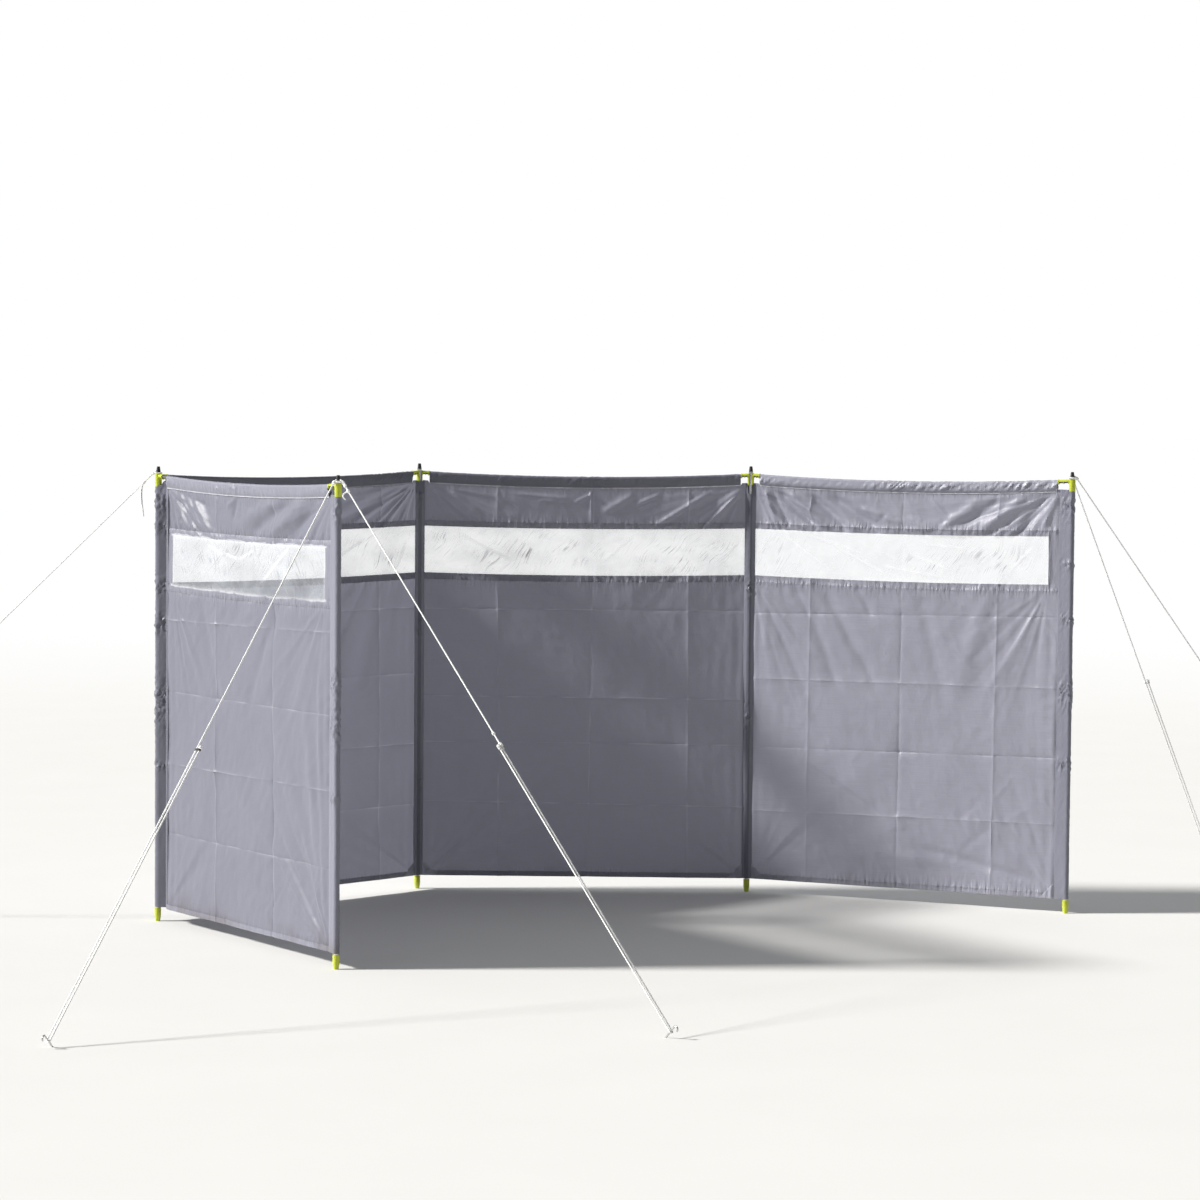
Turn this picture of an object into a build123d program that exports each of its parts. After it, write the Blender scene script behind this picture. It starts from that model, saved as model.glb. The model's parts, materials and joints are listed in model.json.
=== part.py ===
"""Beach windbreak: four cloth bays between five steel poles, pitched in a C.

Millimetres, +Z up. The origin is the centre of the flat foot under pole 3, the
middle pole. Poles and bays are numbered from the left near end round to the right.
"""
from build123d import *
from math import acos, atan2, cos, degrees, hypot, radians, sin
import os

os.makedirs("parts", exist_ok=True)

# Plan
bay_width = 930.0                           # from pole axis to pole axis
bay_headings = (124.0, 45.0, -1.0, -24.0)   # degrees from +X, walking from pole 1 to pole 5

# Poles, end caps and feet
total_height = 1200.0
pole_diameter = 13.0
pole_wall = 1.0
cap_height = 15.0
cap_base_diameter = 12.0
cap_tip_diameter = 8.0
cap_edge_chamfer = 1.0
cap_plug_length = 14.0
foot_height = 36.0
foot_collar_diameter = 17.4
foot_collar_height = 20.0
foot_tip_diameter = 12.5
foot_floor = 9.0
foot_rim_chamfer = 0.6

# Cords, pegs and cloth tunnels have this many flats round them
round_side_count = 8

# Clearances
fit_clearance = 0.3                         # on the radius of every round fit
knuckle_gap = 0.2                           # between the stacked knuckles of two elbows

# Top rails
rail_sag = 13.0
rail_diameter = 8.0
rail_seat_gap = 1.0                         # from the socket of the elbow to the end of the rail

# Elbow connectors
elbow_height = 33.0
elbow_wall = 1.9
arm_diameter = 12.0
arm_band_width = 3.5
arm_band_proud = 0.8
arm_rib_width = 2.0
arm_pocket_count = 2
end_arm_reach = 40.0                        # pole axis to the mouth of the rail tunnel
middle_arm_reach = 28.0
web_half_angle = 44.0
web_gap_angle = 4.0
knuckle_count = 4

# Cloth
cloth_thickness = 2.0
hem_height = 38.0                           # bottom edge above the ground
hem_depth = 14.0
hem_proud = 0.6
tunnel_diameter = 12.4
tunnel_depth = 26.5                         # rail axis to the seam under the tunnel
sleeve_wall = 1.5
sleeve_drop = 1.5                           # from the underside of the elbow to the sleeve
end_seam_reach = 29.0                       # pole axis to the seam beside its sleeve
corner_near_seam_reach = 50.0               # towards the front bay from the pole behind it
corner_back_seam_reach = 20.0
middle_seam_reach = 9.8

# Windows
window_strip = 122.0                        # cloth between the tunnel seam and the window
window_height = 131.0
window_sag = 6.0
film_thickness = 0.8
film_overlap = 8.0
end_window_margin = 63.0                    # pole axis to the edge of the window
corner_near_window_margin = 78.0
corner_back_window_margin = 44.0
middle_window_margin = 12.4

# Guy lines, sliders and pegs
cord_diameter = 3.6
hitch_height = 4.0
knot_diameter = 4.8
knot_length = 8.0
guy_start_radius = 13.0                     # pole axis to the start of the line
guy_reach = 1200.0                          # pole axis to the peg
guy_loop_height = 16.0                      # where the loop goes round the peg
slider_share = 0.49                         # of the way from the peg to the pole
stopper_diameter = 6.0
stopper_length = 5.0
slider_width = 16.0
slider_depth = 6.0
slider_length = 5.0
peg_diameter = 4.0
peg_rise = 16.0                             # from the loop to the start of the hook
hook_radius = 6.0
# Pole number, direction in plan, and the side of the peg that the line passes
guys = ((2, 178.0, 1), (1, 243.0, 1), (1, 311.0, -1), (5, 40.0, 1), (5, 61.0, -1))

# Sizes that follow from these
bay_count = len(bay_headings)
origin_pole = bay_count // 2                # counted from 0, the middle pole of the row
pole_radius = pole_diameter / 2
rail_radius = rail_diameter / 2
cord_radius = cord_diameter / 2
pole_bottom = foot_floor
pole_top = total_height - cap_height
hitch_bottom = pole_top - fit_clearance - hitch_height
elbow_top = hitch_bottom - fit_clearance
elbow_bottom = elbow_top - elbow_height
socket_radius = pole_radius + fit_clearance
ring_radius = socket_radius + elbow_wall
arm_radius = arm_diameter / 2
sleeve_top = elbow_bottom - sleeve_drop
sleeve_radius = socket_radius + sleeve_wall
rail_height = elbow_top - arm_radius        # axis of the rail where it leaves a pole
rail_bore_radius = rail_radius + fit_clearance
rail_end = ring_radius + rail_seat_gap
sag_radius = (bay_width ** 2 / 4 + rail_sag ** 2) / (2 * rail_sag)
sag_centre = (bay_width / 2, rail_height - rail_sag + sag_radius)
window_top = rail_height - tunnel_depth - window_strip
# Both ends of each bay
seam_reaches = (
    (end_seam_reach, corner_near_seam_reach),
    (corner_back_seam_reach, middle_seam_reach),
    (middle_seam_reach, middle_seam_reach),
    (middle_seam_reach, end_seam_reach),
)
window_margins = (
    (end_window_margin, corner_near_window_margin),
    (corner_back_window_margin, middle_window_margin),
    (middle_window_margin, middle_window_margin),
    (middle_window_margin, end_window_margin),
)


def polar(radius, angle):
    """The plan point at this radius and this angle in degrees."""
    return Vector(radius * cos(radians(angle)), radius * sin(radians(angle)), 0)


def pole_points_in_plan():
    """The foot of each pole, with the origin pole at the origin."""
    points = [Vector(0, 0, 0)]
    for heading in bay_headings:
        points.append(points[-1] + polar(bay_width, heading))
    return [point - points[origin_pole] for point in points]


pole_points = pole_points_in_plan()


def bay_plane(bay):
    """Upright plane of a bay: x runs from pole to pole, y is up, z faces the sheltered side."""
    heading = bay_headings[bay]
    return Plane(origin=pole_points[bay], x_dir=polar(1, heading), z_dir=polar(1, heading - 90))


def arms_at(pole):
    """Angles in plan of the arms at a pole: towards the bay before it and the bay after it."""
    before = bay_headings[pole - 1] - 180 if pole > 0 else None
    after = bay_headings[pole] if pole < bay_count else None
    return before, after


def seams_at(pole):
    """Reaches of the seams at a pole: in the bay before it and in the bay after it."""
    before = seam_reaches[pole - 1][1] if pole > 0 else None
    after = seam_reaches[pole][0] if pole < bay_count else None
    return before, after


def sag_angle(x, radius):
    """Angle on a circle about the centre of the sag, at the distance x along a bay."""
    from_middle = x - bay_width / 2
    return degrees(atan2(-((radius ** 2 - from_middle ** 2) ** 0.5), from_middle))


def add_sag_arc(x_from, x_to, below=0.0):
    """An arc that runs with the rail, or below it, between two distances along a bay."""
    radius = sag_radius + below
    start = sag_angle(x_from, radius)
    return CenterArc(sag_centre, radius, start, sag_angle(x_to, radius) - start)


def section_plane(bay, path):
    """Plane across the start of a bay's rail path: x faces the sheltered side, y is down."""
    return Plane(origin=path @ 0, x_dir=polar(1, bay_headings[bay] - 90), z_dir=path % 0)


def add_tail(centre, radius, reach, thickness, angle):
    """The cloth from both sides of a round to the seam where its two layers meet."""
    half = thickness / 2
    tangent = degrees(atan2(half, reach) + acos(radius / hypot(reach, half)))
    spread = degrees(atan2(half, reach))
    length = hypot(reach, half)
    corners = (
        polar(radius, angle + tangent),
        polar(length, angle + spread),
        polar(length, angle - spread),
        polar(radius, angle - tangent),
    )
    Polygon(*(centre + corner for corner in corners), align=None)


def add_few_sided(radius):
    """Section of a cord, a bar or its tunnel, with flats that lie on the round."""
    RegularPolygon(radius, round_side_count, major_radius=False)


def add_annular_sector(inner, outer, angle_from, angle_to):
    """Part of a ring between two angles."""
    with BuildLine() as outline:
        outside = CenterArc((0, 0), outer, angle_from, angle_to - angle_from)
        inside = CenterArc((0, 0), inner, angle_from, angle_to - angle_from)
        Line(outside @ 0, inside @ 0)
        Line(outside @ 1, inside @ 1)
    make_face(outline.edges())


# Steel pole tubes
for number, point in enumerate(pole_points, 1):
    with BuildPart() as pole:
        with BuildSketch(Plane.XY.offset(pole_bottom)):
            with Locations(point):
                Circle(pole_radius)
                Circle(pole_radius - pole_wall, mode=Mode.SUBTRACT)
        extrude(amount=pole_top - pole_bottom)
    pole.part.label = f"pole_{number}"
    export_step(pole.part, f"parts/pole_{number}.step")

# Black plastic end caps, each a tapered button on a plug in the tube
with BuildPart() as pole_caps:
    with BuildSketch(Plane.XZ) as cap_profile:
        plug_radius = pole_radius - pole_wall - fit_clearance
        with BuildLine():
            Polyline(
                (0, pole_top - cap_plug_length),
                (plug_radius, pole_top - cap_plug_length),
                (plug_radius, pole_top),
                (cap_base_diameter / 2, pole_top),
                (cap_tip_diameter / 2, total_height),
                (0, total_height),
                close=True,
            )
        make_face()
        tip = cap_profile.vertices().sort_by(Axis.Y)[-2:].sort_by(Axis.X)[-1]
        chamfer(tip, cap_edge_chamfer)
    cap = revolve(axis=Axis.Z, mode=Mode.PRIVATE)
    for point in pole_points:
        add(cap.moved(Location(point)))
pole_caps.part.label = "pole_caps"
export_step(pole_caps.part, "parts/pole_caps.step")

# Lime plastic feet: a socket for the pole that tapers to a flat tip
for number, point in enumerate(pole_points, 1):
    with BuildPart() as foot:
        with BuildSketch(Plane.XZ) as foot_profile:
            with BuildLine():
                Polyline(
                    (0, 0),
                    (foot_tip_diameter / 2, 0),
                    (foot_collar_diameter / 2, foot_height - foot_collar_height),
                    (foot_collar_diameter / 2, foot_height),
                    (socket_radius, foot_height),
                    (socket_radius, foot_floor),
                    (0, foot_floor),
                    close=True,
                )
            make_face()
            rim = foot_profile.vertices().sort_by(Axis.Y)[-2:].sort_by(Axis.X)[-1]
            chamfer(rim, foot_rim_chamfer)
        revolve(axis=Axis.Z)
    foot.part.label = f"pole_foot_{number}"
    export_step(foot.part.moved(Location(point)), f"parts/pole_foot_{number}.step")

# Sagging top rails, solid rods plugged into the elbows at both ends
for bay in range(bay_count):
    with BuildPart() as rail:
        with BuildLine(bay_plane(bay)) as rail_path:
            add_sag_arc(rail_end, bay_width - rail_end)
        with BuildSketch(section_plane(bay, rail_path.line)):
            Circle(rail_radius)
        sweep(path=rail_path.line)
    rail.part.label = f"top_rail_{bay + 1}"
    export_step(rail.part, f"parts/top_rail_{bay + 1}.step")

# Moulded elbows: a full socket on an end pole, and two sets of knuckles that share a
# pole elsewhere, gripping it from the weather side and open to the sheltered side
for pole_index, point in enumerate(pole_points):
    before, after = arms_at(pole_index)
    reach = end_arm_reach if before is None or after is None else middle_arm_reach
    for side, arm_angle in (("left", before), ("right", after)):
        if arm_angle is None:
            continue
        bay = pole_index - 1 if side == "left" else pole_index
        outward = 1 if side == "right" else -1
        pole_x = 0.0 if side == "right" else bay_width
        with BuildPart() as elbow:
            # Socket or knuckles round the pole
            if before is None or after is None:
                with BuildSketch(Plane(origin=point + Vector(0, 0, elbow_bottom))):
                    Circle(ring_radius)
                    Circle(socket_radius, mode=Mode.SUBTRACT)
                extrude(amount=elbow_height)
            else:
                with BuildSketch(Plane(origin=point + Vector(0, 0, elbow_bottom))):
                    add_annular_sector(
                        socket_radius, ring_radius, arm_angle - web_half_angle, arm_angle + web_half_angle
                    )
                extrude(amount=elbow_height)
                far_side = web_half_angle + web_gap_angle
                if side == "right":
                    sector = (after - web_half_angle, before + 360 - far_side)
                else:
                    sector = (after + far_side, before + 360 + web_half_angle)
                level_height = elbow_height / knuckle_count
                first_level = 1 if side == "right" else 0
                for level in range(first_level, knuckle_count, 2):
                    level_bottom = elbow_bottom + level * level_height + knuckle_gap / 2
                    with BuildSketch(Plane(origin=point + Vector(0, 0, level_bottom))):
                        add_annular_sector(socket_radius, ring_radius, *sector)
                    extrude(amount=level_height - knuckle_gap)
            # Arm to the rail tunnel, with a raised band round its mouth
            arm_root = socket_radius + elbow_wall / 2
            with BuildLine(bay_plane(bay)) as arm_path:
                add_sag_arc(pole_x + outward * arm_root, pole_x + outward * reach)
            arm_section = Plane(origin=arm_path.line @ 0, z_dir=arm_path.line % 0)
            with BuildSketch(arm_section):
                Circle(arm_radius)
            extrude(amount=reach - arm_root)
            with BuildSketch(arm_section.offset(reach - arm_root - arm_band_width)):
                Circle(arm_radius + arm_band_proud)
            extrude(amount=arm_band_width)
            # Pockets under the arm, which leave ribs round the rail
            pockets_from = ring_radius + arm_rib_width - arm_root
            pockets_to = reach - arm_root - arm_band_width
            pocket_pitch = (pockets_to + arm_rib_width - pockets_from) / arm_pocket_count
            side_plane = Plane(
                origin=arm_section.origin, x_dir=arm_section.z_dir, z_dir=polar(1, bay_headings[bay] - 90)
            )
            down = -1 if side_plane.y_dir.Z > 0 else 1
            for pocket in range(arm_pocket_count):
                pocket_middle = pockets_from + pocket * pocket_pitch + (pocket_pitch - arm_rib_width) / 2
                with BuildSketch(side_plane):
                    with Locations((pocket_middle, down * arm_diameter / 2)):
                        Rectangle(pocket_pitch - arm_rib_width, arm_diameter)
                extrude(amount=arm_diameter, both=True, mode=Mode.SUBTRACT)
            # Bore for the rail
            bore_from = rail_end - fit_clearance - arm_root
            with BuildSketch(arm_section.offset(bore_from)):
                Circle(rail_bore_radius)
            extrude(amount=reach - arm_root - bore_from, mode=Mode.SUBTRACT)
        elbow_name = f"elbow_{pole_index + 1}_{side}"
        elbow.part.label = elbow_name
        export_step(elbow.part, f"parts/{elbow_name}.step")

# Pole sleeves: cloth round the pole, drawn in to the seam of each bay that it carries
for pole_index, point in enumerate(pole_points):
    with BuildPart() as sleeve:
        with BuildSketch(Plane(origin=point + Vector(0, 0, hem_height))):
            Circle(sleeve_radius)
            for arm_angle, seam_reach in zip(arms_at(pole_index), seams_at(pole_index)):
                if arm_angle is not None:
                    add_tail(Vector(0, 0, 0), sleeve_radius, seam_reach, cloth_thickness, arm_angle)
            Circle(socket_radius, mode=Mode.SUBTRACT)
        extrude(amount=sleeve_top - hem_height)
    sleeve.part.label = f"pole_sleeve_{pole_index + 1}"
    export_step(sleeve.part, f"parts/pole_sleeve_{pole_index + 1}.step")


def add_window(bay, overlap):
    """Outline of a bay's window, grown by the overlap but never past the sleeve seams."""
    left_margin, right_margin = window_margins[bay]
    left_seam, right_seam = seam_reaches[bay]
    left = max(left_margin - overlap, left_seam)
    right = bay_width - max(right_margin - overlap, right_seam)
    top = window_top + overlap
    bottom = window_top - window_height - overlap
    middle = (left + right) / 2
    with BuildLine() as outline:
        upper = ThreePointArc((left, top), (middle, top - window_sag), (right, top))
        lower = ThreePointArc((left, bottom), (middle, bottom - window_sag), (right, bottom))
        Line(upper @ 0, lower @ 0)
        Line(upper @ 1, lower @ 1)
    make_face(outline.edges())


# Cloth panels, hemmed below and folded over the rail above, with a window cut through
for bay in range(bay_count):
    left = seam_reaches[bay][0]
    right = bay_width - seam_reaches[bay][1]
    tunnel_left = max(left, fit_clearance + (end_arm_reach if bay == 0 else middle_arm_reach))
    tunnel_right = fit_clearance + (end_arm_reach if bay == bay_count - 1 else middle_arm_reach)
    tunnel_right = max(seam_reaches[bay][1] + cloth_thickness, tunnel_right)
    with BuildPart() as panel:
        with BuildSketch(bay_plane(bay)):
            with BuildLine():
                top_edge = add_sag_arc(left, right, below=tunnel_depth)
                Line(top_edge @ 0, (left, hem_height))
                Line((left, hem_height), (right, hem_height))
                Line((right, hem_height), top_edge @ 1)
            make_face()
        extrude(amount=cloth_thickness / 2, both=True)
        with BuildSketch(bay_plane(bay)):
            with Locations(((left + right) / 2, hem_height + hem_depth / 2)):
                Rectangle(right - left, hem_depth)
        extrude(amount=cloth_thickness / 2 + hem_proud, both=True)
        with BuildLine(bay_plane(bay)) as tunnel_path:
            add_sag_arc(tunnel_left, bay_width - tunnel_right)
        with BuildSketch(section_plane(bay, tunnel_path.line)):
            add_few_sided(tunnel_diameter / 2)
            add_tail(Vector(0, 0, 0), tunnel_diameter / 2, tunnel_depth, cloth_thickness, 90)
            RegularPolygon(
                rail_bore_radius, round_side_count, major_radius=False, mode=Mode.SUBTRACT
            )
        sweep(path=tunnel_path.line)
        with BuildSketch(bay_plane(bay)):
            add_window(bay, 0.0)
        extrude(amount=cloth_thickness, both=True, mode=Mode.SUBTRACT)
    panel.part.label = f"cloth_panel_{bay + 1}"
    export_step(panel.part, f"parts/cloth_panel_{bay + 1}.step")

# Clear window film, sewn over the opening on the weather side
for bay in range(bay_count):
    with BuildPart() as film:
        with BuildSketch(bay_plane(bay).offset(-cloth_thickness / 2)):
            add_window(bay, film_overlap)
        extrude(amount=-film_thickness)
    film.part.label = f"window_film_{bay + 1}"
    export_step(film.part, f"parts/window_film_{bay + 1}.step")

# Guy lines run from a hitch under the cap, round a leaning peg and back up to a slider.
# Each is drawn in its own plane: x runs up the line, z along the peg.
strand_offset = peg_diameter / 2 + fit_clearance + cord_radius
guy_start_height = hitch_bottom + knot_diameter / 2
guy_rise = guy_start_height - guy_loop_height
guy_run = guy_reach - guy_start_radius
guy_length = hypot(guy_rise, guy_run)
slider_at = guy_length * slider_share


def guy_plane(pole_number, angle):
    """The plane of a guy line, from the middle of the loop round its peg."""
    loop_centre = pole_points[pole_number - 1] + polar(guy_reach, angle) + Vector(0, 0, guy_loop_height)
    up_the_line = polar(-guy_run, angle) + Vector(0, 0, guy_rise)
    along_peg = polar(guy_rise, angle) + Vector(0, 0, guy_run)
    return Plane(origin=loop_centre, x_dir=up_the_line, z_dir=along_peg)


for number, (pole_number, angle, hand) in enumerate(guys, 1):
    line_plane = guy_plane(pole_number, angle)
    offset_y = hand * strand_offset
    with BuildPart() as guy_line:
        with BuildLine(line_plane) as strand_path:
            Line((guy_length, offset_y), (0, offset_y))
            CenterArc((0, 0), strand_offset, 90 * hand, 180 * hand)
            Line((0, -offset_y), (slider_at + slider_length, -offset_y))
        cord_start = strand_path.line @ 0
        with BuildSketch(Plane(origin=cord_start, x_dir=line_plane.z_dir, z_dir=-line_plane.x_dir)):
            add_few_sided(cord_radius)
        sweep(path=strand_path.line)
        stopper_origin = line_plane.from_local_coords(
            Vector(slider_at + slider_length / 2 + fit_clearance, -offset_y, 0)
        )
        with BuildSketch(Plane(origin=stopper_origin, x_dir=line_plane.z_dir, z_dir=line_plane.x_dir)):
            add_few_sided(stopper_diameter / 2)
        extrude(amount=stopper_length)
    guy_line.part.label = f"guy_line_{number}"
    export_step(guy_line.part, f"parts/guy_line_{number}.step")

# Sliders that tension the lines, each with a hole for either strand
with BuildPart() as line_sliders:
    for pole_number, angle, hand in guys:
        line_plane = guy_plane(pole_number, angle)
        slider_origin = line_plane.from_local_coords(Vector(slider_at - slider_length / 2, 0, 0))
        slider_plane = Plane(origin=slider_origin, x_dir=line_plane.y_dir, z_dir=line_plane.x_dir)
        with BuildSketch(slider_plane):
            SlotOverall(slider_width, slider_depth)
            with Locations((-strand_offset, 0), (strand_offset, 0)):
                RegularPolygon(
                    cord_radius + fit_clearance, round_side_count, major_radius=False, mode=Mode.SUBTRACT
                )
        extrude(amount=slider_length)
line_sliders.part.label = "line_sliders"
export_step(line_sliders.part, "parts/line_sliders.step")

# Cord hitches round the pole tops, with a knot where each line sets off
with BuildPart() as guy_hitches:
    for pole_number in sorted({guy[0] for guy in guys}):
        point = pole_points[pole_number - 1]
        with BuildSketch(Plane(origin=point + Vector(0, 0, hitch_bottom))):
            Circle(socket_radius + cord_diameter)
            Circle(socket_radius, mode=Mode.SUBTRACT)
        extrude(amount=hitch_height)
    for pole_number, angle, hand in guys:
        line_plane = guy_plane(pole_number, angle)
        knot_origin = line_plane.from_local_coords(Vector(guy_length, hand * strand_offset, 0))
        with BuildSketch(Plane(origin=knot_origin, x_dir=line_plane.z_dir, z_dir=line_plane.x_dir)):
            add_few_sided(knot_diameter / 2)
        extrude(amount=knot_length)
    for pole_number in sorted({guy[0] for guy in guys}):
        point = pole_points[pole_number - 1]
        with BuildSketch(Plane(origin=point + Vector(0, 0, elbow_bottom))):
            Circle(socket_radius)
        extrude(amount=total_height - elbow_bottom, mode=Mode.SUBTRACT)
guy_hitches.part.label = "guy_hitches"
export_step(guy_hitches.part, "parts/guy_hitches.step")

# Steel hook pegs, leaning back square to their lines and cut off at ground level
for number, (pole_number, angle, hand) in enumerate(guys, 1):
    line_plane = guy_plane(pole_number, angle)
    peg_plane = Plane(origin=line_plane.origin, x_dir=-line_plane.x_dir, z_dir=line_plane.y_dir)
    shaft_below = guy_loop_height * guy_length / guy_run + peg_diameter
    with BuildPart() as peg:
        with BuildLine(peg_plane) as peg_path:
            up = 1 if peg_plane.y_dir.Z > 0 else -1
            Line((0, -up * shaft_below), (0, up * peg_rise))
            CenterArc((hook_radius, up * peg_rise), hook_radius, 180, -180 * up)
        with BuildSketch(Plane(origin=peg_path.line @ 0, x_dir=peg_plane.z_dir, z_dir=peg_path.line % 0)):
            add_few_sided(peg_diameter / 2)
        sweep(path=peg_path.line)
        split(bisect_by=Plane.XY, keep=Keep.TOP)
    peg.part.label = f"ground_peg_{number}"
    export_step(peg.part, f"parts/ground_peg_{number}.step")
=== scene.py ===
import json
from math import asin, atan2, cos, hypot, pi, radians, sin

import bpy
import numpy as np
from mathutils import Matrix, Vector


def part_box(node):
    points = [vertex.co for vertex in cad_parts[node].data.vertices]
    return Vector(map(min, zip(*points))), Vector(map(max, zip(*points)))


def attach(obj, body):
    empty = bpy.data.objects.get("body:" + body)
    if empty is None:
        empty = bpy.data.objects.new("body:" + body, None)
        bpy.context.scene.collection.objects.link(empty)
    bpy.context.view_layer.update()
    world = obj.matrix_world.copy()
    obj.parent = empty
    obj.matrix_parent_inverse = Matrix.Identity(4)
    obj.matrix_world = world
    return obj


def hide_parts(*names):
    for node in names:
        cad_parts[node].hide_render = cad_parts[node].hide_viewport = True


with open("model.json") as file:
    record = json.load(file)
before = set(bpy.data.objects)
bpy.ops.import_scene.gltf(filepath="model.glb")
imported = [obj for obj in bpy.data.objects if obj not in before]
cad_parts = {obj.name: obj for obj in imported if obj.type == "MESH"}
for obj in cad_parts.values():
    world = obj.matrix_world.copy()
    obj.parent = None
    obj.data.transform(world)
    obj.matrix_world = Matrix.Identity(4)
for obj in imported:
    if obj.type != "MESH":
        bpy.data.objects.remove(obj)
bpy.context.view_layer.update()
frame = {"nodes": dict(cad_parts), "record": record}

# Sizes shared with the frame
pole_count = 5
bay_count = 4
bay_width = 0.930
pole_radius = 0.0065
hem_height = 0.038
hem_depth = 0.014
rail_height = 1.1744
rail_sag = 0.013
tunnel_depth = 0.0265
sleeve_top = 1.1520
window_top = 1.0259
window_height = 0.131
window_sag = 0.006
film_overlap = 0.008
# Seams, tunnel mouths and window edges, from the pole axes at both ends of each bay
seam_reaches = ((0.029, 0.050), (0.020, 0.0098), (0.0098, 0.0098), (0.0098, 0.029))
tunnel_reaches = ((0.0403, 0.052), (0.0283, 0.0283), (0.0283, 0.0283), (0.0283, 0.0403))
window_margins = ((0.063, 0.078), (0.044, 0.0124), (0.0124, 0.0124), (0.0124, 0.063))
hitch_bottom = 1.1807
cord_radius = 0.0018
guy_start_radius = 0.013
guy_start_height = 1.1831
guy_reach = 1.200
guy_loop_height = 0.016
slider_share = 0.49  # of the line's length, up from its peg
slider_width = 0.016
slider_depth = 0.006
slider_length = 0.005
peg_radius = 0.002
peg_rise = 0.016
hook_radius = 0.006
strand_offset = 0.0041
# Pole number, direction in plan and side of the peg of each guy line
guys = ((2, 178.0, 1), (1, 243.0, 1), (1, 311.0, -1), (5, 40.0, 1), (5, 61.0, -1))

# Cloth
band_above = 0.016  # doubled border over each window
band_below = 0.018
layer_gap = 0.0009  # from one layer of cloth to the next
mouth_rise = 0.006  # of the cloth's edge between a sleeve and the tunnel
tunnel_radius = 0.0052
piping_radius = 0.0010  # of the rolled edge along the foot of the tunnel
piping_gap = 0.0004
piping_drop = 0.0006  # below the seam
patch_leg = 0.045  # doubled corners at the bottom of each bay
top_patch = (0.012, 0.030)  # width and height of the doubled corners at the top
flange = 0.0045  # sleeve cloth that lies over the bay beyond the seam
flange_gap = 0.0012
least_border = 0.01  # a window that ends closer than this to a seam has no border there
least_margin = 0.02  # a film that ends closer than this to a pole stops at the window's edge

# Differences between the bays
# Painted shade: the next two tables darken each bay's cloth and its tunnel, standing in for the shade that
# falls there
bay_painted_shades = (0.78, 0.78, 0.52, 0.0)  # painted shade: how much darker each bay's cloth is drawn
tunnel_painted_shades = (0.70, 1.35, 1.30, 0.0)
border_shares = (0.8, 1.0, 1.0, 0.4)  # how opaque the doubled borders look
hem_gathers = (0.35, 0.35, 0.5, 1.0)  # how much the stitching draws in the hem
tunnel_bellies = (0.0022, 0.0010, 0.0006, 0.0036)  # slack of the tunnel

# Steps of the meshes
column_step = 0.0042
row_step = 0.0062
fine_row_step = 0.0032
strip_row_step = 0.0036  # between the window and the tunnel
fold_step = 0.0021  # beside the packing folds
fold_half = 0.0063
band_rows = 6
strip_step = 0.004  # in the borders beside the windows
strip_rows = 36
patch_steps = 12
film_step = 0.0038
film_rows = 44

# Packing folds, in mm: places of the uprights at the hem and the window, heights of the levels at both poles
upright_folds = {
    1: ((319, 319), (611, 611)),
    2: ((200, 210), (480, 470), (784, 780)),
    3: ((229, 220), (480, 490), (761, 757)),
    4: ((178, 181), (443, 450), (716, 726)),
}
level_folds = {
    1: ((818, 799), (615, 612), (432, 423), (240, 240)),
    2: ((800, 795), (610, 610), (418, 412), (245, 240)),
    3: ((793, 792), (547, 543), (418, 414), (250, 240)),
    4: ((788, 805), (605, 612), (411, 422), (233, 242)),
}
# Tension folds out of the corners: corner, reach and height in mm, then heading, spread and count
fans = {
    1: ((30, 1150, 400, 3, -34, 30, 6), (880, 1150, 420, 3, 208, 30, 6), (30, 40, 450, 4, 40, 30, 4),
        (880, 40, 340, 1.4, 140, 24, 3), (65, 890, 280, 2.4, -58, 26, 4), (850, 890, 260, 2.4, 240, 26, 4)),
    2: ((20, 1150, 360, 4, -30, 26, 5), (918, 1150, 420, 5, 222, 34, 7), (20, 40, 300, 3, 38, 24, 3),
        (920, 40, 300, 3, 145, 24, 3)),
    3: ((10, 1148, 360, 3, -30, 26, 6), (920, 1148, 300, 3, 222, 30, 8), (10, 40, 500, 4.2, 36, 26, 3),
        (920, 40, 300, 3, 140, 24, 3)),
    4: ((10, 1148, 360, 3.4, -40, 28, 8), (901, 1150, 360, 3.4, 214, 30, 8), (900, 40, 420, 2, 138, 26, 4),
        (10, 40, 300, 3, 42, 24, 3), (866, 885, 340, 3, 238, 28, 4), (12, 885, 340, 3.4, -58, 26, 4)),
}
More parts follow.
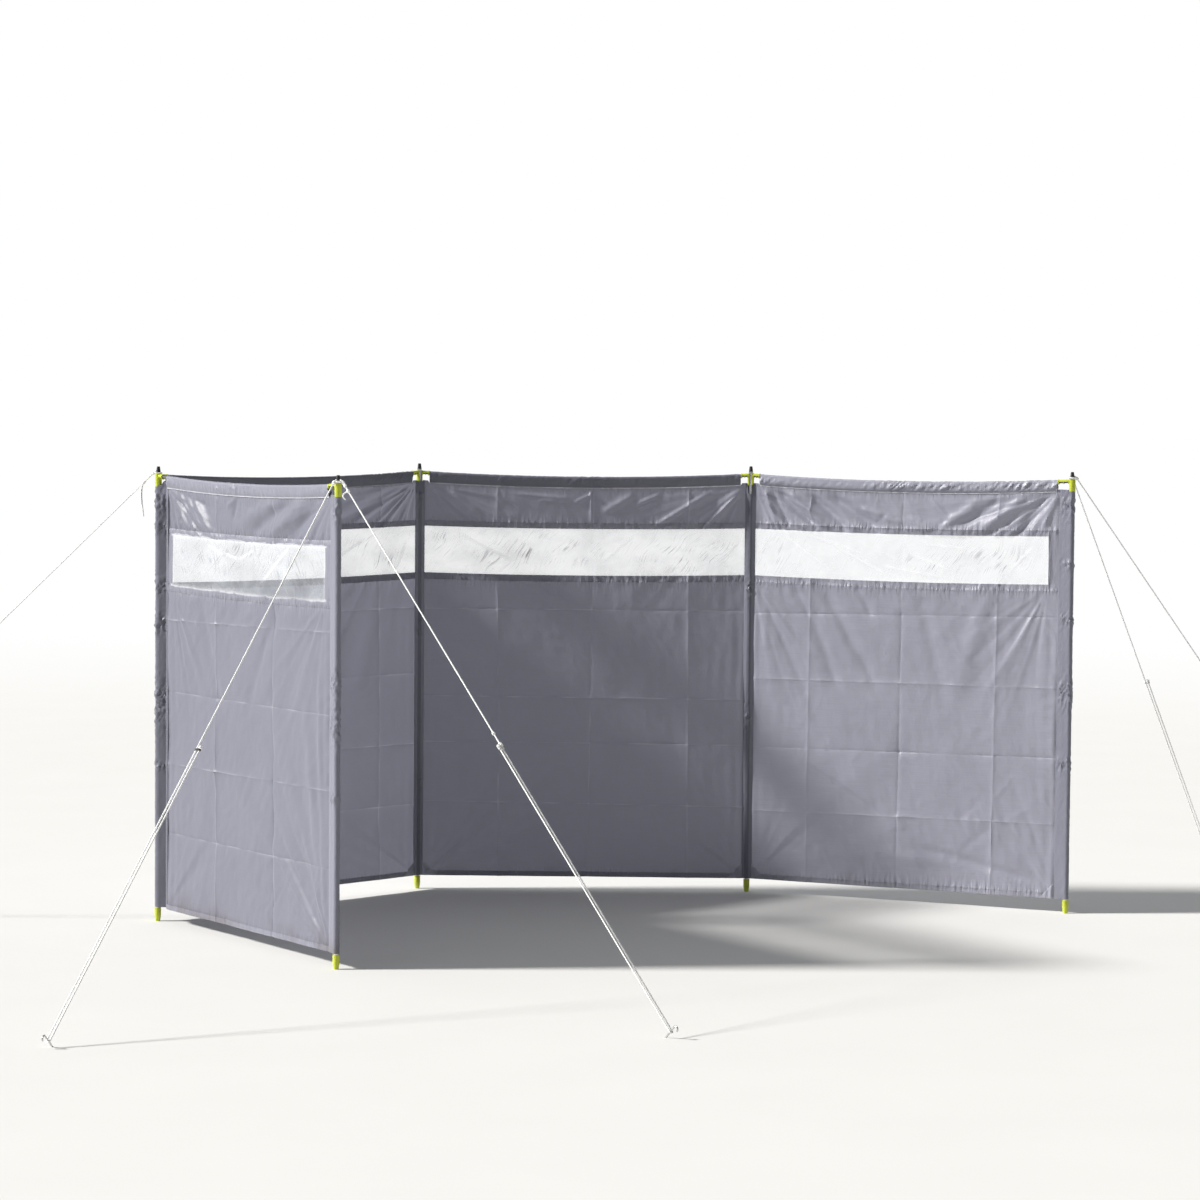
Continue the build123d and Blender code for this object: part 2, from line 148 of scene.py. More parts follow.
# Single folds, in mm: the two ends, half width and height
long_folds = {
    1: ((90, 1140, 236, 1036, 15, 5.8), (160, 1138, 330, 1036, 20, -7.4), (226, 1136, 436, 1040, 16, 6.4),
        (300, 1130, 500, 1060, 20, -5), (872, 1140, 838, 1036, 6, -4.6), (860, 1142, 808, 1036, 7, -5.2),
        (848, 1142, 768, 1036, 7, -5), (820, 1142, 722, 1036, 7, -4.6), (790, 1140, 680, 1036, 8, -4.4),
        (750, 1132, 642, 1036, 9, -5.4), (700, 1118, 600, 1040, 12, 3.6), (498, 1137, 556, 1105, 6, -3.5),
        (500, 1140, 530, 1075, 7, 3.2), (620, 300, 800, 60, 30, 1.8), (200, 280, 50, 60, 26, 3.4),
        (300, 880, 440, 620, 16, 3), (700, 860, 580, 580, 18, 3), (85, 660, 60, 120, 12, -3.6),
        (150, 620, 75, 100, 20, -4)),
    2: ((700, 900, 620, 500, 40, 5), (780, 900, 720, 600, 30, -4), (890, 1130, 780, 1040, 11, 5.6),
        (860, 1135, 700, 1050, 12, 5.8), (820, 1138, 600, 1060, 13, 5.4), (900, 1120, 850, 1036, 8, 4)),
    3: ((673, 1037, 808, 1121, 6.6, 7.2), (520, 1070, 594, 1112, 10, 6), (609, 1090, 675, 1119, 5.6, 5),
        (615, 1075, 660, 1098, 5, 3.6), (270, 1118, 417, 1104, 6, 4), (334, 1100, 400, 1096, 5, 3.4),
        (440, 1095, 490, 1122, 4.8, 4.4), (481, 1136, 484, 1040, 4.5, 4.4), (84, 1128, 165, 1055, 12, 4),
        (904, 1132, 850, 1076, 8, 4), (892, 1128, 815, 1046, 10, 4.8), (100, 100, 340, 200, 35, 5),
        (120, 60, 450, 130, 30, -4), (300, 860, 320, 830, 5, 3.4), (350, 850, 372, 820, 5, 3.4)),
    4: ((44, 1134, 80, 1034, 7, 6), (62, 1132, 114, 1038, 7, -7), (82, 1130, 196, 1034, 10, -9.5),
        (110, 1132, 226, 1040, 10, 7.6), (173, 1126, 288, 1032, 12, -12), (236, 1122, 380, 1032, 14, -11),
        (333, 1089, 392, 1071, 8, 4.4), (372, 1050, 398, 1070, 6, -1.6), (395, 1064, 450, 1050, 7, 2.4),
        (523, 1127, 584, 1067, 5, 3.2), (470, 1068, 540, 1026, 11, 4), (580, 1066, 538, 1026, 9, -3.6),
        (665, 1110, 545, 1030, 13, 6), (725, 1118, 625, 1050, 11, -6), (800, 1132, 674, 1032, 13, 8),
        (860, 1134, 783, 1034, 13, -9), (888, 1134, 850, 1048, 8, 5), (210, 879, 375, 602, 18, -6.6),
        (180, 796, 262, 594, 15, -4), (136, 865, 180, 780, 9, -4), (320, 872, 360, 795, 10, -3.8),
        (556, 745, 666, 663, 6, 2.8), (700, 860, 620, 620, 26, 4.5), (500, 870, 580, 550, 20, -3),
        (300, 360, 520, 100, 30, 3), (60, 330, 300, 180, 20, -4), (240, 130, 560, 120, 18, 3.6),
        (503, 155, 850, 82, 13, -6.4), (185, 364, 408, 233, 9, -4.4), (723, 301, 784, 373, 8, 1.1),
        (690, 301, 624, 240, 10, -0.8), (716, 221, 632, 155, 10, -1.5), (753, 241, 828, 281, 9, 1.2),
        (296, 162, 434, 130, 9, 1.6)),
}
# Patches of small crisp folds, in mm: middle, size and height
crumples = {
    1: ((450, 1130, 200, 40, 3), (450, 840, 340, 60, 2.4), (34, 640, 12, 110, 6), (34, 460, 10, 30, 5),
        (320, 120, 100, 50, 2.4)),
    2: ((600, 1090, 250, 50, 2),),
    3: ((330, 830, 100, 60, 2.6), (400, 1100, 160, 30, 2)),
    4: ((420, 1080, 160, 50, 3), (880, 550, 30, 300, 3), (600, 860, 300, 50, 2.6), (880, 800, 20, 60, 4),
        (300, 120, 300, 50, 2.6), (446, 228, 60, 35, 5), (722, 238, 70, 45, 5)),
}
# Gathers of the tunnel on its rail: middle, half width and strength
tunnel_gathers = {
    1: ((0.47, 0.05, 1.3), (0.56, 0.12, 0.7)),
    2: ((0.82, 0.10, 0.8),),
    3: ((0.48, 0.05, 0.8), (0.30, 0.10, 0.4)),
    4: ((0.44, 0.07, 1.3), (0.58, 0.05, 1.0), (0.78, 0.10, 1.5)),
}


def metres(row):
    """A row of a table in mm, in metres."""
    return tuple(value / 1000 for value in row)


def pole_point(number):
    """The axis of a pole in plan, from the frame."""
    low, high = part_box(f"pole_{number}")
    return np.array([(low[0] + high[0]) / 2, (low[1] + high[1]) / 2])


pole_points = {number: pole_point(number) for number in range(1, pole_count + 1)}


# Random fields and curves
lattice = 64


def smooth(x):
    """From 0 to 1 with no slope at either end."""
    x = np.clip(x, 0.0, 1.0)
    return x * x * (3 - 2 * x)


def noise(x, y, seed):
    """Smooth gradient noise with cells one unit wide, from about -1 to 1."""
    turns = np.random.default_rng(seed).uniform(0, 2 * pi, (lattice, lattice))
    i, j = np.floor(x).astype(int), np.floor(y).astype(int)
    u, v = x - i, y - j

    def slope(a, b):
        turn = turns[(i + a) % lattice, (j + b) % lattice]
        return (u - a) * np.cos(turn) + (v - b) * np.sin(turn)

    p, q = smooth(u), smooth(v)
    low = slope(0, 0) * (1 - p) + slope(1, 0) * p
    high = slope(0, 1) * (1 - p) + slope(1, 1) * p
    return 1.5 * (low * (1 - q) + high * q)


def stops(breaks, steps):
    """Places in even steps from break to break, with every break kept."""
    parts = [np.linspace(a, b, max(1, round((b - a) / step)), endpoint=False)
             for a, b, step in zip(breaks, breaks[1:], steps)]
    return np.append(np.concatenate(parts), breaks[-1])


def travelled(path):
    """How far along a path each of its points lies."""
    return np.append(0, np.cumsum(np.linalg.norm(np.diff(path, axis=0), axis=1)))


# Mesh building
def add_object(name, data):
    """A mesh, light or lens put into the scene."""
    made = bpy.data.objects.new(name, data)
    bpy.context.scene.collection.objects.link(made)
    return made


def shade_smooth(mesh, sharp_angle):
    """Smooth shading, with edges sharper than an angle in degrees left crisp."""
    mesh.polygons.foreach_set("use_smooth", np.ones(len(mesh.polygons), bool))
    mesh.set_sharp_from_angle(angle=radians(sharp_angle))


class Shape:
    """Vertices, faces and surface coordinates gathered into one mesh."""

    def __init__(self):
        self.points, self.places, self.faces, self.marks, self.count = [], [], [], {}, 0

    def add_grid(self, points, places, keep=None, wrap=False, **marks):
        """A sheet of quads through rows and columns of points. keep says which quads exist."""
        rows, columns = points.shape[:2]
        index = np.arange(rows * columns).reshape(rows, columns) + self.count
        right = np.roll(index, -1, axis=1) if wrap else index[:, 1:]
        left = index if wrap else index[:, :-1]
        quads = np.stack([left[:-1], right[:-1], right[1:], left[1:]], axis=-1)
        quads = quads.reshape(-1, 4) if keep is None else quads[keep]
        marks = {name: np.broadcast_to(np.asarray(value, float), (rows, columns)).ravel()
                 for name, value in marks.items()}
        self.add(points.reshape(-1, 3), places.reshape(-1, 2), quads, **marks)

    def add(self, points, places, faces, **marks):
        """Points with their surface coordinates and marks, and faces that number them."""
        self.points.append(points)
        self.places.append(places)
        self.faces.append(faces)
        for name in sorted({*self.marks, *marks}):
            values = marks.get(name, np.zeros(len(points)))
            self.marks.setdefault(name, [np.zeros(self.count)]).append(values)
        self.count += len(points)

    def build(self, name, material, sharp_angle=40.0):
        corners = np.concatenate([faces.ravel() for faces in self.faces])
        sizes = np.concatenate([np.full(len(faces), faces.shape[1]) for faces in self.faces])
        used, corners = np.unique(corners, return_inverse=True)
        points, places = np.concatenate(self.points)[used], np.concatenate(self.places)[used]
        mesh = bpy.data.meshes.new(name)
        mesh.vertices.add(len(points))
        mesh.vertices.foreach_set("co", points.astype(np.float32).ravel())
        mesh.loops.add(len(corners))
        mesh.loops.foreach_set("vertex_index", corners.astype(np.int32))
        mesh.polygons.add(len(sizes))
        mesh.polygons.foreach_set("loop_start", (np.cumsum(sizes) - sizes).astype(np.int32))
        mesh.update(calc_edges=True)
        layer = mesh.uv_layers.new(name="Cloth")
        layer.data.foreach_set("uv", places[corners].astype(np.float32).ravel())
        for mark, values in self.marks.items():
            attribute = mesh.attributes.new(mark, "FLOAT", "POINT")
            attribute.data.foreach_set("value", np.concatenate(values)[used].astype(np.float32))
        shade_smooth(mesh, sharp_angle)
        mesh.validate()
        mesh.materials.append(material)
        return add_object(name, mesh)


def finish_piece(piece, slot, *nodes):
    """The piece rides with the windbreak and hides the nodes it takes the place of; its slot is not used."""
    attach(piece, "root")
    if nodes:
        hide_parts(*nodes)
    return piece


# Plan and edges of a bay
class Bay:
    """A bay's place in plan, the ends of its seams, tunnel and window, its painted shade, its other looks and
    its folds.
    """

    def __init__(self, number):
        self.number = number
        self.start = pole_points[number]
        step = pole_points[number + 1] - self.start
        self.along = step / np.linalg.norm(step)
        self.lee = np.array([self.along[1], -self.along[0]])
        row = number - 1
        tables = (seam_reaches, tunnel_reaches, window_margins)
        self.seams, self.tunnel, self.window = [(t[row][0], bay_width - t[row][1]) for t in tables]
        # Painted shade of the bay's cloth and of its tunnel
        self.shade, self.tunnel_painted_shade = bay_painted_shades[row], tunnel_painted_shades[row]
        self.border_share, self.hem_gather = border_shares[row], hem_gathers[row]
        self.belly = tunnel_bellies[row]
        self.uprights = [metres(fold) for fold in upright_folds[number]]
        self.levels = [metres(fold) for fold in level_folds[number]]

    def place(self, s, z, out):
        """Points in space from places in the bay."""
        s, z, out = np.broadcast_arrays(s, z, out)
        plan = self.start + s[..., None] * self.along + out[..., None] * self.lee
        return np.concatenate([plan, z[..., None]], axis=-1)

    def on_cloth(self, s, travel):
        """Surface coordinates that run on from bay to bay."""
        return np.stack(np.broadcast_arrays(s + self.number, travel), axis=-1)


def dip(s):
    """How far down its sag a point is, from 0 at the poles to 1 at the middle."""
    return 4 * (s / bay_width) * (1 - s / bay_width)


def tunnel_seam(s):
    return rail_height - rail_sag * dip(s) - tunnel_depth


def window_head(s):
    return window_top - window_sag * dip(s)


def window_sill(s):
    return window_head(s) - window_height


# Relief of the cloth
def crease(distance, height, reach):
    """A sharp ridge that fades to both sides."""
    return height * np.exp(-np.abs(distance) / reach)


def fan(s, z, row, seed):
    """Tension folds that run out of a corner, with headings in degrees from +s."""
    corner_s, corner_z, reach, height, heading, spread, count = row
    ds, dz = s - corner_s, z - corner_z
    r = np.hypot(ds, dz) + 1e-6
    turn = np.arctan2(dz, ds) - radians(heading)
    turn = (turn + pi) % (2 * pi) - pi
    inside = np.exp(-(turn / radians(spread)) ** 2)
    phase = count * turn / radians(spread) * 1.6
    phase = phase + 1.6 * noise(turn * 5 + 9, r * 3, seed)
    wave = np.sin(phase) + 0.35 * np.sin(2.3 * phase + seed)
    return height * inside * wave * r / (r + 0.06) * np.exp(-(r / reach) ** 2)


def long_fold(s, z, s0, z0, s1, z1, width, height):
    """A soft fold between two places, which dies out at both ends."""
    run_s, run_z = s1 - s0, z1 - z0
    length = np.hypot(run_s, run_z)
    t = ((s - s0) * run_s + (z - z0) * run_z) / length ** 2
    across = ((s - s0) * run_z - (z - z0) * run_s) / length
    ends = smooth((t + 0.15) / 0.35) * smooth((1.15 - t) / 0.35)
    return height * np.exp(-(across / width) ** 2) * ends


def patch(s, z, middle_s, middle_z, half_s, half_z):
    """From 1 in the middle of a patch to 0 far from it."""
    return np.exp(-((s - middle_s) / half_s) ** 2 - ((z - middle_z) / half_z) ** 2)


def crumple(s, z, row, seed):
    """Small crisp folds in a patch of slack cloth."""
    *place, height = row
    x = s / 0.055 + 0.6 * noise(s / 0.09, z / 0.09, seed + 1)
    y = z / 0.04 + 0.8 * s / 0.055 + 0.6 * noise(s / 0.08, z / 0.1, seed + 2)
    ridge = 1 - np.sqrt(np.abs(noise(x, y, seed)))
    return height * patch(s, z, *place) * ridge


def puckers(s, z, line, height, reach, pitch, seed):
    """Small gathers along a stitched line that runs across the bay."""
    return crease(z - line, height, reach) * noise(s / pitch, z / 0.05, seed)


def upright_line(fold, z):
    """Where an upright packing fold runs at a height."""
    return fold[0] + (fold[1] - fold[0]) * (z - hem_height) / (window_top - hem_height)


def level_line(fold, s):
    """The height of a level packing fold along the bay."""
    return fold[0] + (fold[1] - fold[0]) * s / bay_width


def packing_relief(bay, s, z):
    """Sharp folds left by packing, with a dimple where they cross."""
    height = np.zeros(np.broadcast(s, z).shape)
    for k, fold in enumerate(bay.uprights):
        away = s - upright_line(fold, z) - 0.0012 * noise(z / 0.12, 3 * k, 40 + bay.number)
        share = 0.7 + 0.6 * noise(z / 0.13, k, 50 + bay.number)
        height += (1, -1)[k % 2] * share * (crease(away, 0.0019, 0.0032) + crease(away, 0.0020, 0.020))
    for k, fold in enumerate(bay.levels):
        away = z - level_line(fold, s) - 0.0012 * noise(s / 0.12, 5 * k, 60 + bay.number)
        share = 0.7 + 0.6 * noise(s / 0.13, k, 70 + bay.number)
        height += (-1, 1)[k % 2] * share * (crease(away, 0.0018, 0.0032) + crease(away, 0.0016, 0.018))
        for j, upright in enumerate(bay.uprights):
            r = np.hypot(s - upright_line(upright, level_line(fold, s)), z - level_line(fold, s))
            height += crease(r, -0.0024 if (j + k) % 2 else 0.0024, 0.007)
    return height


def relief(bay, s, z):
    """How far the cloth stands out towards the sheltered side."""
    number = bay.number
    height = packing_relief(bay, s, z)
    for k, row in enumerate(fans[number]):
        (*corner, reach, lift), (heading, spread, count) = metres(row[:4]), row[4:]
        height += fan(s, z, (*corner, reach, lift, heading, spread, count), 100 + 10 * number + k)
        finer = (*corner, 1.1 * reach, 0.4 * lift, heading, 1.2 * spread, 2.6 * count)
        height += fan(s, z, finer, 160 + 10 * number + k)
    for row in long_folds[number]:
        height += long_fold(s, z, *metres(row))
    for k, row in enumerate(crumples[number]):
        height += crumple(s, z, metres(row), 200 + 10 * number + k)
    height += 0.0045 * noise(s / 0.33, z / 0.30, 300 + number)
    height += 0.0020 * noise(s / 0.090, z / 0.14, 310 + number)
    height += 0.0005 * noise(s / 0.024 + z / 0.1, z / 0.045, 320 + number)
    height += crumple(s, z, (0.46, 0.5, 9.0, 9.0, 0.0011), 325 + number)
    left, right = s - bay.seams[0], bay.seams[1] - s
    strength = 0.6 + 0.6 * noise(z / 0.11, 7, 340 + number)
    for k, side in enumerate((left, right)):
        ripple = np.sin(2 * pi * side / 0.034 + 1.2 * noise(z / 0.2, 0, 330 + 2 * number + k))
        height += 0.0014 * ripple * np.exp(-side / 0.05) * strength
    borders = (window_head(s), window_head(s) + band_above, window_sill(s), window_sill(s) - band_below)
    for k, line in enumerate(borders):
        height += puckers(s, z, line, 0.0020, 0.010, 0.009, 350 + 5 * number + k)
    height += puckers(s, z, tunnel_seam(s), 0.0018, 0.018, 0.012, 380 + number)
    height += puckers(s, z, hem_height + hem_depth, 0.0028 * bay.hem_gather, 0.011, 0.0075, 390 + number)
    height *= smooth(left / 0.012) * smooth(right / 0.012)
    return height * (0.42 + 0.58 * smooth((tunnel_seam(s) - z) / 0.026))


# Marks on the cloth, each from 0 to 1
def fold_wear(bay, s, z):
    """Where the packing folds have rubbed the cloth pale."""
    wear = np.zeros(np.broadcast(s, z).shape)
    for fold in bay.uprights:
        wear += crease(s - upright_line(fold, z), 0.9, 0.0018)
    for fold in bay.levels:
        wear += crease(z - level_line(fold, s), 0.9, 0.0018)
    return np.clip(wear * (0.6 + 0.9 * noise(s / 0.05, z / 0.05, 400 + bay.number)), 0, 1)


def gathered(bay, s, z):
    """How close the cloth is to a line of stitching that draws it in."""
    near = np.zeros(np.broadcast(s, z).shape)
    lines = ((window_head(s) + band_above, 1.0), (window_sill(s) - band_below, 1.0), (tunnel_seam(s), 0.8),
             (hem_height + hem_depth, bay.hem_gather))
    for line, share in lines:
        near = np.maximum(near, crease(z - line, share, 0.012))
    beside = (z > window_sill(s) - band_below) & (z < window_head(s) + band_above)
    for edge in bay.window:
        near = np.maximum(near, crease(s - edge, 0.9, 0.012) * beside)
    return near


def doubled(bay, s, z):
    """Where two layers of cloth lie on each other."""
    in_borders = (z > window_sill(s) - band_below) & (z < window_head(s) + band_above)
    return np.where(z < hem_height + hem_depth, 1.0, bay.border_share * in_borders)


def soil(number, s, z):
    """Sand and dust that cling to the bottom of the cloth."""
    low = np.exp(-(z - hem_height) / 0.05)
    smudge = 0.5 + 0.7 * noise(s / 0.12, z / 0.08, 410 + number)
    smudge = smudge + 0.3 * noise(s / 0.03, z / 0.03, 420 + number)
    share = 0.6 if number == 1 else 0.35
    return np.clip(share * low * smudge * 1.6, 0, 1)


# Panels
def tunnel_section(slack):
    """Out and up from the seam, round the rail and back down to the seam, with slack sides."""
    lean = asin(tunnel_radius / tunnel_depth)
    straight = tunnel_depth * cos(lean)
    shares = np.linspace(0, 1, 10)
    belly = slack * np.sin(pi * shares ** 0.7)
    up = [(t * straight * sin(lean) + b, t * straight * cos(lean)) for t, b in zip(shares, belly)]
    turns = np.linspace(-lean, pi + lean, 15)[1:-1]
    over = [(tunnel_radius * cos(a), tunnel_depth + tunnel_radius * sin(a)) for a in turns]
    down = [(-x - layer_gap * (1 - y / straight), y) for x, y in reversed(up)]
    return np.array(up + over + down)


def panel_columns(bay):
    """Places of the columns, closer together beside the packing folds."""
    fine = [(min(fold) - fold_half, max(fold) + fold_half) for fold in bay.uprights]
    breaks = sorted({*bay.seams, *bay.tunnel, *bay.window}.union(*fine))
    steps = [fold_step if any(low - 1e-9 <= a < high - 1e-9 for low, high in fine) else column_step
             for a in breaks]
    return stops(breaks, steps)


def panel_curves(bay, s):
    """Heights that rows follow, from the hem to the tunnel, and the row step above each."""
    curves = [hem_height + 0 * s, hem_height + hem_depth + 0 * s]
    steps = [fine_row_step]
    for fold in reversed(bay.levels):
        line = level_line(fold, s)
        curves += [line - fold_half, line + fold_half]
        steps += [row_step, fold_step]
    mouth = smooth((bay.tunnel[0] - s) / 0.003) + smooth((s - bay.tunnel[1]) / 0.003)
    curves += [window_sill(s) - band_below, window_sill(s), window_head(s), window_head(s) + band_above,
               tunnel_seam(s) + mouth_rise * mouth]
    steps += [row_step, fine_row_step, row_step, fine_row_step, strip_row_step]
    return curves, steps


def make_panel(bay, material):
    shape = Shape()
    s = panel_columns(bay)
    curves, steps = panel_curves(bay, s)
    window_part = len(curves) - 4
    rows, parts = [], []
    for k, (low, high, step) in enumerate(zip(curves, curves[1:], steps)):
        count = max(2, round(float(np.mean(high - low)) / step))
        rows += [low + f * (high - low) for f in np.arange(count) / count]
        parts += [k] * count
    z = np.array(rows + [curves[-1]])
    lift = relief(bay, s, z)
    # The hem comes up behind, turns at the bottom edge and goes on as the sheltered face
    hem_z = np.linspace(hem_height + hem_depth, hem_height + 0.001, 6)[:, None] + 0 * s
    turn = np.linspace(-0.5 * pi, 0.5 * pi, 5)[1:-1][:, None]
    edge_z = hem_height - layer_gap / 2 * np.cos(turn) + 0 * s
    edge_out = lift[0] + layer_gap / 2 * (np.sin(turn) - 1)
    all_z = np.concatenate([hem_z, edge_z, z])
    all_out = np.concatenate([relief(bay, s, hem_z) - layer_gap, edge_out, lift])
    # Surface coordinates run on round the edge
    travel = np.concatenate([2 * hem_height - hem_z, edge_z, z])
    keep = np.ones((len(all_z) - 1, len(s) - 1), bool)
    middle = (s[1:] + s[:-1]) / 2
    in_window = (middle > bay.window[0]) & (middle < bay.window[1])
    window_rows = len(hem_z) + len(edge_z) + np.flatnonzero(np.array(parts) == window_part)
    keep[np.ix_(window_rows, in_window)] = False
    last_row = (np.arange(len(all_z)) == len(all_z) - 1)[:, None]
    # The seam mark paints a highlight along the top row, at the foot of the tunnel
    shape.add_grid(bay.place(s, all_z, all_out), bay.on_cloth(s, travel), keep, shade=bay.shade,
                   wear=fold_wear(bay, s, all_z), soil=soil(bay.number, s, all_z),
                   gather=gathered(bay, s, all_z), doubled=doubled(bay, s, all_z),
                   seam=last_row & (s >= bay.tunnel[0]) & (s <= bay.tunnel[1]))
    add_tunnel(shape, bay, s)
    add_borders(shape, bay, s)
    add_corner_patches(shape, bay)
    return shape.build(f"cloth_bay_{bay.number}", material)


def add_tunnel(shape, bay, s):
    """The tunnel of cloth round the rail, gathered and slack in places."""
    section = tunnel_section(bay.belly)
    s = s[(s >= bay.tunnel[0] - 1e-6) & (s <= bay.tunnel[1] + 1e-6)]
    out, up = section[:, :1], section[:, 1:]
    share = up / tunnel_depth
    slack = smooth(share * 1.6) * smooth((1.25 - share) * 1.6)
    gathers = 0.25 + 0.9 * np.exp(-np.minimum(s - s[0], s[-1] - s) / 0.04)
    for middle, half, strength in tunnel_gathers[bay.number]:
        gathers = gathers + strength * np.exp(-((s - middle) / half) ** 2)
    face = np.sign(out + 1e-9)
    slanted = noise(s / 0.013 - 1.6 * share, share * 0.9 + 2 * face, 500 + bay.number)
    wrinkles = 0.9 - 1.8 * np.sqrt(np.abs(slanted))
    wrinkles = wrinkles + 0.6 * noise(s / 0.030 - 1.5 * share, share + 3 * face, 510 + bay.number)
    bulge = np.maximum(0.0030 * gathers * wrinkles * slack, -0.6 * bay.belly * slack)
    z = tunnel_seam(s) + up + 0.0012 * wrinkles * smooth((share - 0.9) * 8) * gathers
    out = out + face * bulge + relief(bay, s, tunnel_seam(s)) * (1 - smooth(share * 1.1))
    # The seam mark paints a highlight along the foot of the tunnel
    shape.add_grid(bay.place(s, z, out), bay.on_cloth(s, tunnel_seam(s) + travelled(section)[:, None]),
                   doubled=1.0, gather=0.5 * slack * np.minimum(1, gathers), shade=bay.tunnel_painted_shade,
                   seam=share < 0.02)


def add_borders(shape, bay, s):
    """The doubled borders of the window."""
    under = window_sill(s) - band_below, window_sill(s)
    over = window_head(s), window_head(s) + band_above
    for low, high in (under, over):
        add_band(shape, bay, s, np.linspace(0, 1, band_rows)[:, None] * (high - low) + low)
    for a, b in zip((bay.seams[0], bay.window[1]), (bay.window[0], bay.seams[1])):
        if b - a > least_border:
            s = np.linspace(a, b, max(6, round((b - a) / strip_step)))
            add_band(shape, bay, s, np.linspace(0, 1, strip_rows)[:, None] * window_height + window_sill(s))


def add_band(shape, bay, s, z):
    """A second layer of cloth on the weather side, stitched down at its edges."""
    rows = np.arange(len(z))
    edge = np.minimum(rows, rows[::-1])[:, None]
    out = relief(bay, s, z) - layer_gap * (0.35 + 0.65 * smooth(edge / 1.5))
    shape.add_grid(bay.place(s, z, out), bay.on_cloth(s, z), doubled=bay.border_share,
                   gather=gathered(bay, s, z), shade=bay.shade)


def add_corner_patches(shape, bay):
    """Doubled cloth at the bottom and the top of each seam, on the sheltered side."""
    steps = np.linspace(0, 1, patch_steps)
    up, across = np.meshgrid(steps, steps, indexing="ij")
    patches = ((1 - 0.98 * up, patch_leg, hem_height + up * patch_leg),
               (0.02 + 0.98 * up, top_patch[0], sleeve_top - top_patch[1] * (1 - up)))
    edge = np.minimum(1 - across, 0.1) * 10
    for seam, side in zip(bay.seams, (1, -1)):
        for taper, width, z in patches:
            s = seam + side * across * taper * width
            out = relief(bay, s, z) + layer_gap * (0.3 + 0.7 * edge)
            shape.add_grid(bay.place(s, z, out), bay.on_cloth(s, z), soil=soil(bay.number, s, z), doubled=1.0)


# Sleeves
sleeve_radius = 0.0079
sleeve_columns = 64
sleeve_rows = 210
turn_in = 0.025  # cloth folded back into the top of a sleeve
set_back = 0.0006  # of the cloth that is folded in
# Painted shade on a sleeve's cloth, beside its pole and on it
sleeve_painted_shades = {1: (0.9, 1.0), 2: (1.70, 1.15), 3: (0.0, 1.45), 4: (0.9, 1.60), 5: (0.9, 1.0)}
sleeve_doubled = {1: 1.0, 2: 1.0, 3: 0.0, 4: 0.8, 5: 0.8}
front_cores = (3, 4)  # sleeves that are painted dark only along the front of the pole
# Where each sleeve is bunched up on its pole: height and half length
sleeve_bunches = {
    1: ((0.697, 0.030), (0.590, 0.050), (0.417, 0.014), (1.110, 0.025)),
    2: ((1.110, 0.030), (1.043, 0.016), (0.890, 0.025), (0.790, 0.026), (0.580, 0.060), (0.413, 0.012)),
    3: ((0.740, 0.030), (1.110, 0.020), (0.300, 0.030)),
    4: ((0.860, 0.030), (0.480, 0.040)),
    5: ((0.798, 0.015), (0.600, 0.035), (0.405, 0.018), (1.110, 0.022), (0.950, 0.012)),
}
slit_depth = 0.030  # of the V in the top of one sleeve
slit_pole = 4
corner_pole = 2  # where the front bay's seam stands well clear of the pole
tail_rise = 0.010  # of the corner pole's sleeve towards its seam
tuck = (0.0240, 0.0112)  # along the front bay and towards its sheltered side
tuck_gap = 0.0012


def hull(points):
    """The corners of the convex outline round points of the plan, anticlockwise."""
    def chain(line):
        kept = []
        for p in line:
            while len(kept) > 1:
                (ax, ay), (bx, by) = kept[-2], kept[-1]
                if (bx - ax) * (p[1] - ay) - (by - ay) * (p[0] - ax) > 0:
                    break
                kept.pop()
            kept.append(p)
        return kept[:-1]
    line = sorted(map(tuple, points))
    return np.array(chain(line) + chain(line[::-1]))


def tips_of(number):
    """Ends of the sleeve's flanges, from the pole along the bays that meet there."""
    before = [-bays[number - 2].along * (seam_reaches[number - 2][1] + flange)] if number > 1 else []
    after = [bays[number - 1].along * (seam_reaches[number - 1][0] + flange)] if number <= bay_count else []
    return before + after


def lee_of(number):
    """The sheltered side of a pole."""
    middle = np.sum([bay.lee for bay in bays if number in (bay.number, bay.number + 1)], axis=0)
    return middle / np.linalg.norm(middle)


def sleeve_outline(number, tips):
    """The sleeve's girth in plan, anticlockwise."""
    turns = np.linspace(0, 2 * pi, 96, endpoint=False)
    round_points = np.stack([np.cos(turns), np.sin(turns)], axis=-1)
    tube = sleeve_radius * round_points
    ends = [tip + flange_gap * round_points for tip in tips]
    if number != corner_pole:
        return hull(np.concatenate([tube] + ends))
    # The cloth draws in beside the pole, then both layers run flat together out to the seam
    bay = bays[number - 2]
    fold = -bay.along * tuck[0] + bay.lee * tuck[1]
    other = fold + bay.lee * tuck_gap - bay.along * tuck_gap
    outline = hull(np.concatenate([tube, [fold, other], ends[1]]))
    at = int(np.argmin(np.linalg.norm(outline - fold, axis=1)))
    tip = [tips[0] + flange_gap * way for way in (-bay.lee, -bay.along, bay.lee)]
    return np.concatenate([outline[:at + 1], tip, outline[at + 1:]])


def sleeve_lift(number, around, girth, z):
    """How far a sleeve's folds and bunches stand out from its girth."""
    bunch = 0.20 + sum(1.9 * np.exp(-((z - middle) / half) ** 2) for middle, half in sleeve_bunches[number])
    slant = 0.6 * np.sin(2 * pi * around / girth + number)
    folds = noise(z / 0.011 + 3 * slant, around / 0.022, 720 + number)
    folds = folds + 0.5 * noise(z / 0.028 - 2 * slant, around / 0.030, 730 + number)
    crisp = 0.8 - 1.6 * np.sqrt(np.abs(noise(z / 0.013 - 2 * slant, around / 0.018, 750 + number)))
    lift = 0.0010 * bunch * (folds + 0.3) + 0.0022 * bunch * crisp
    return lift + 0.0006 * noise(z / 0.15, around / 0.02, 740 + number)


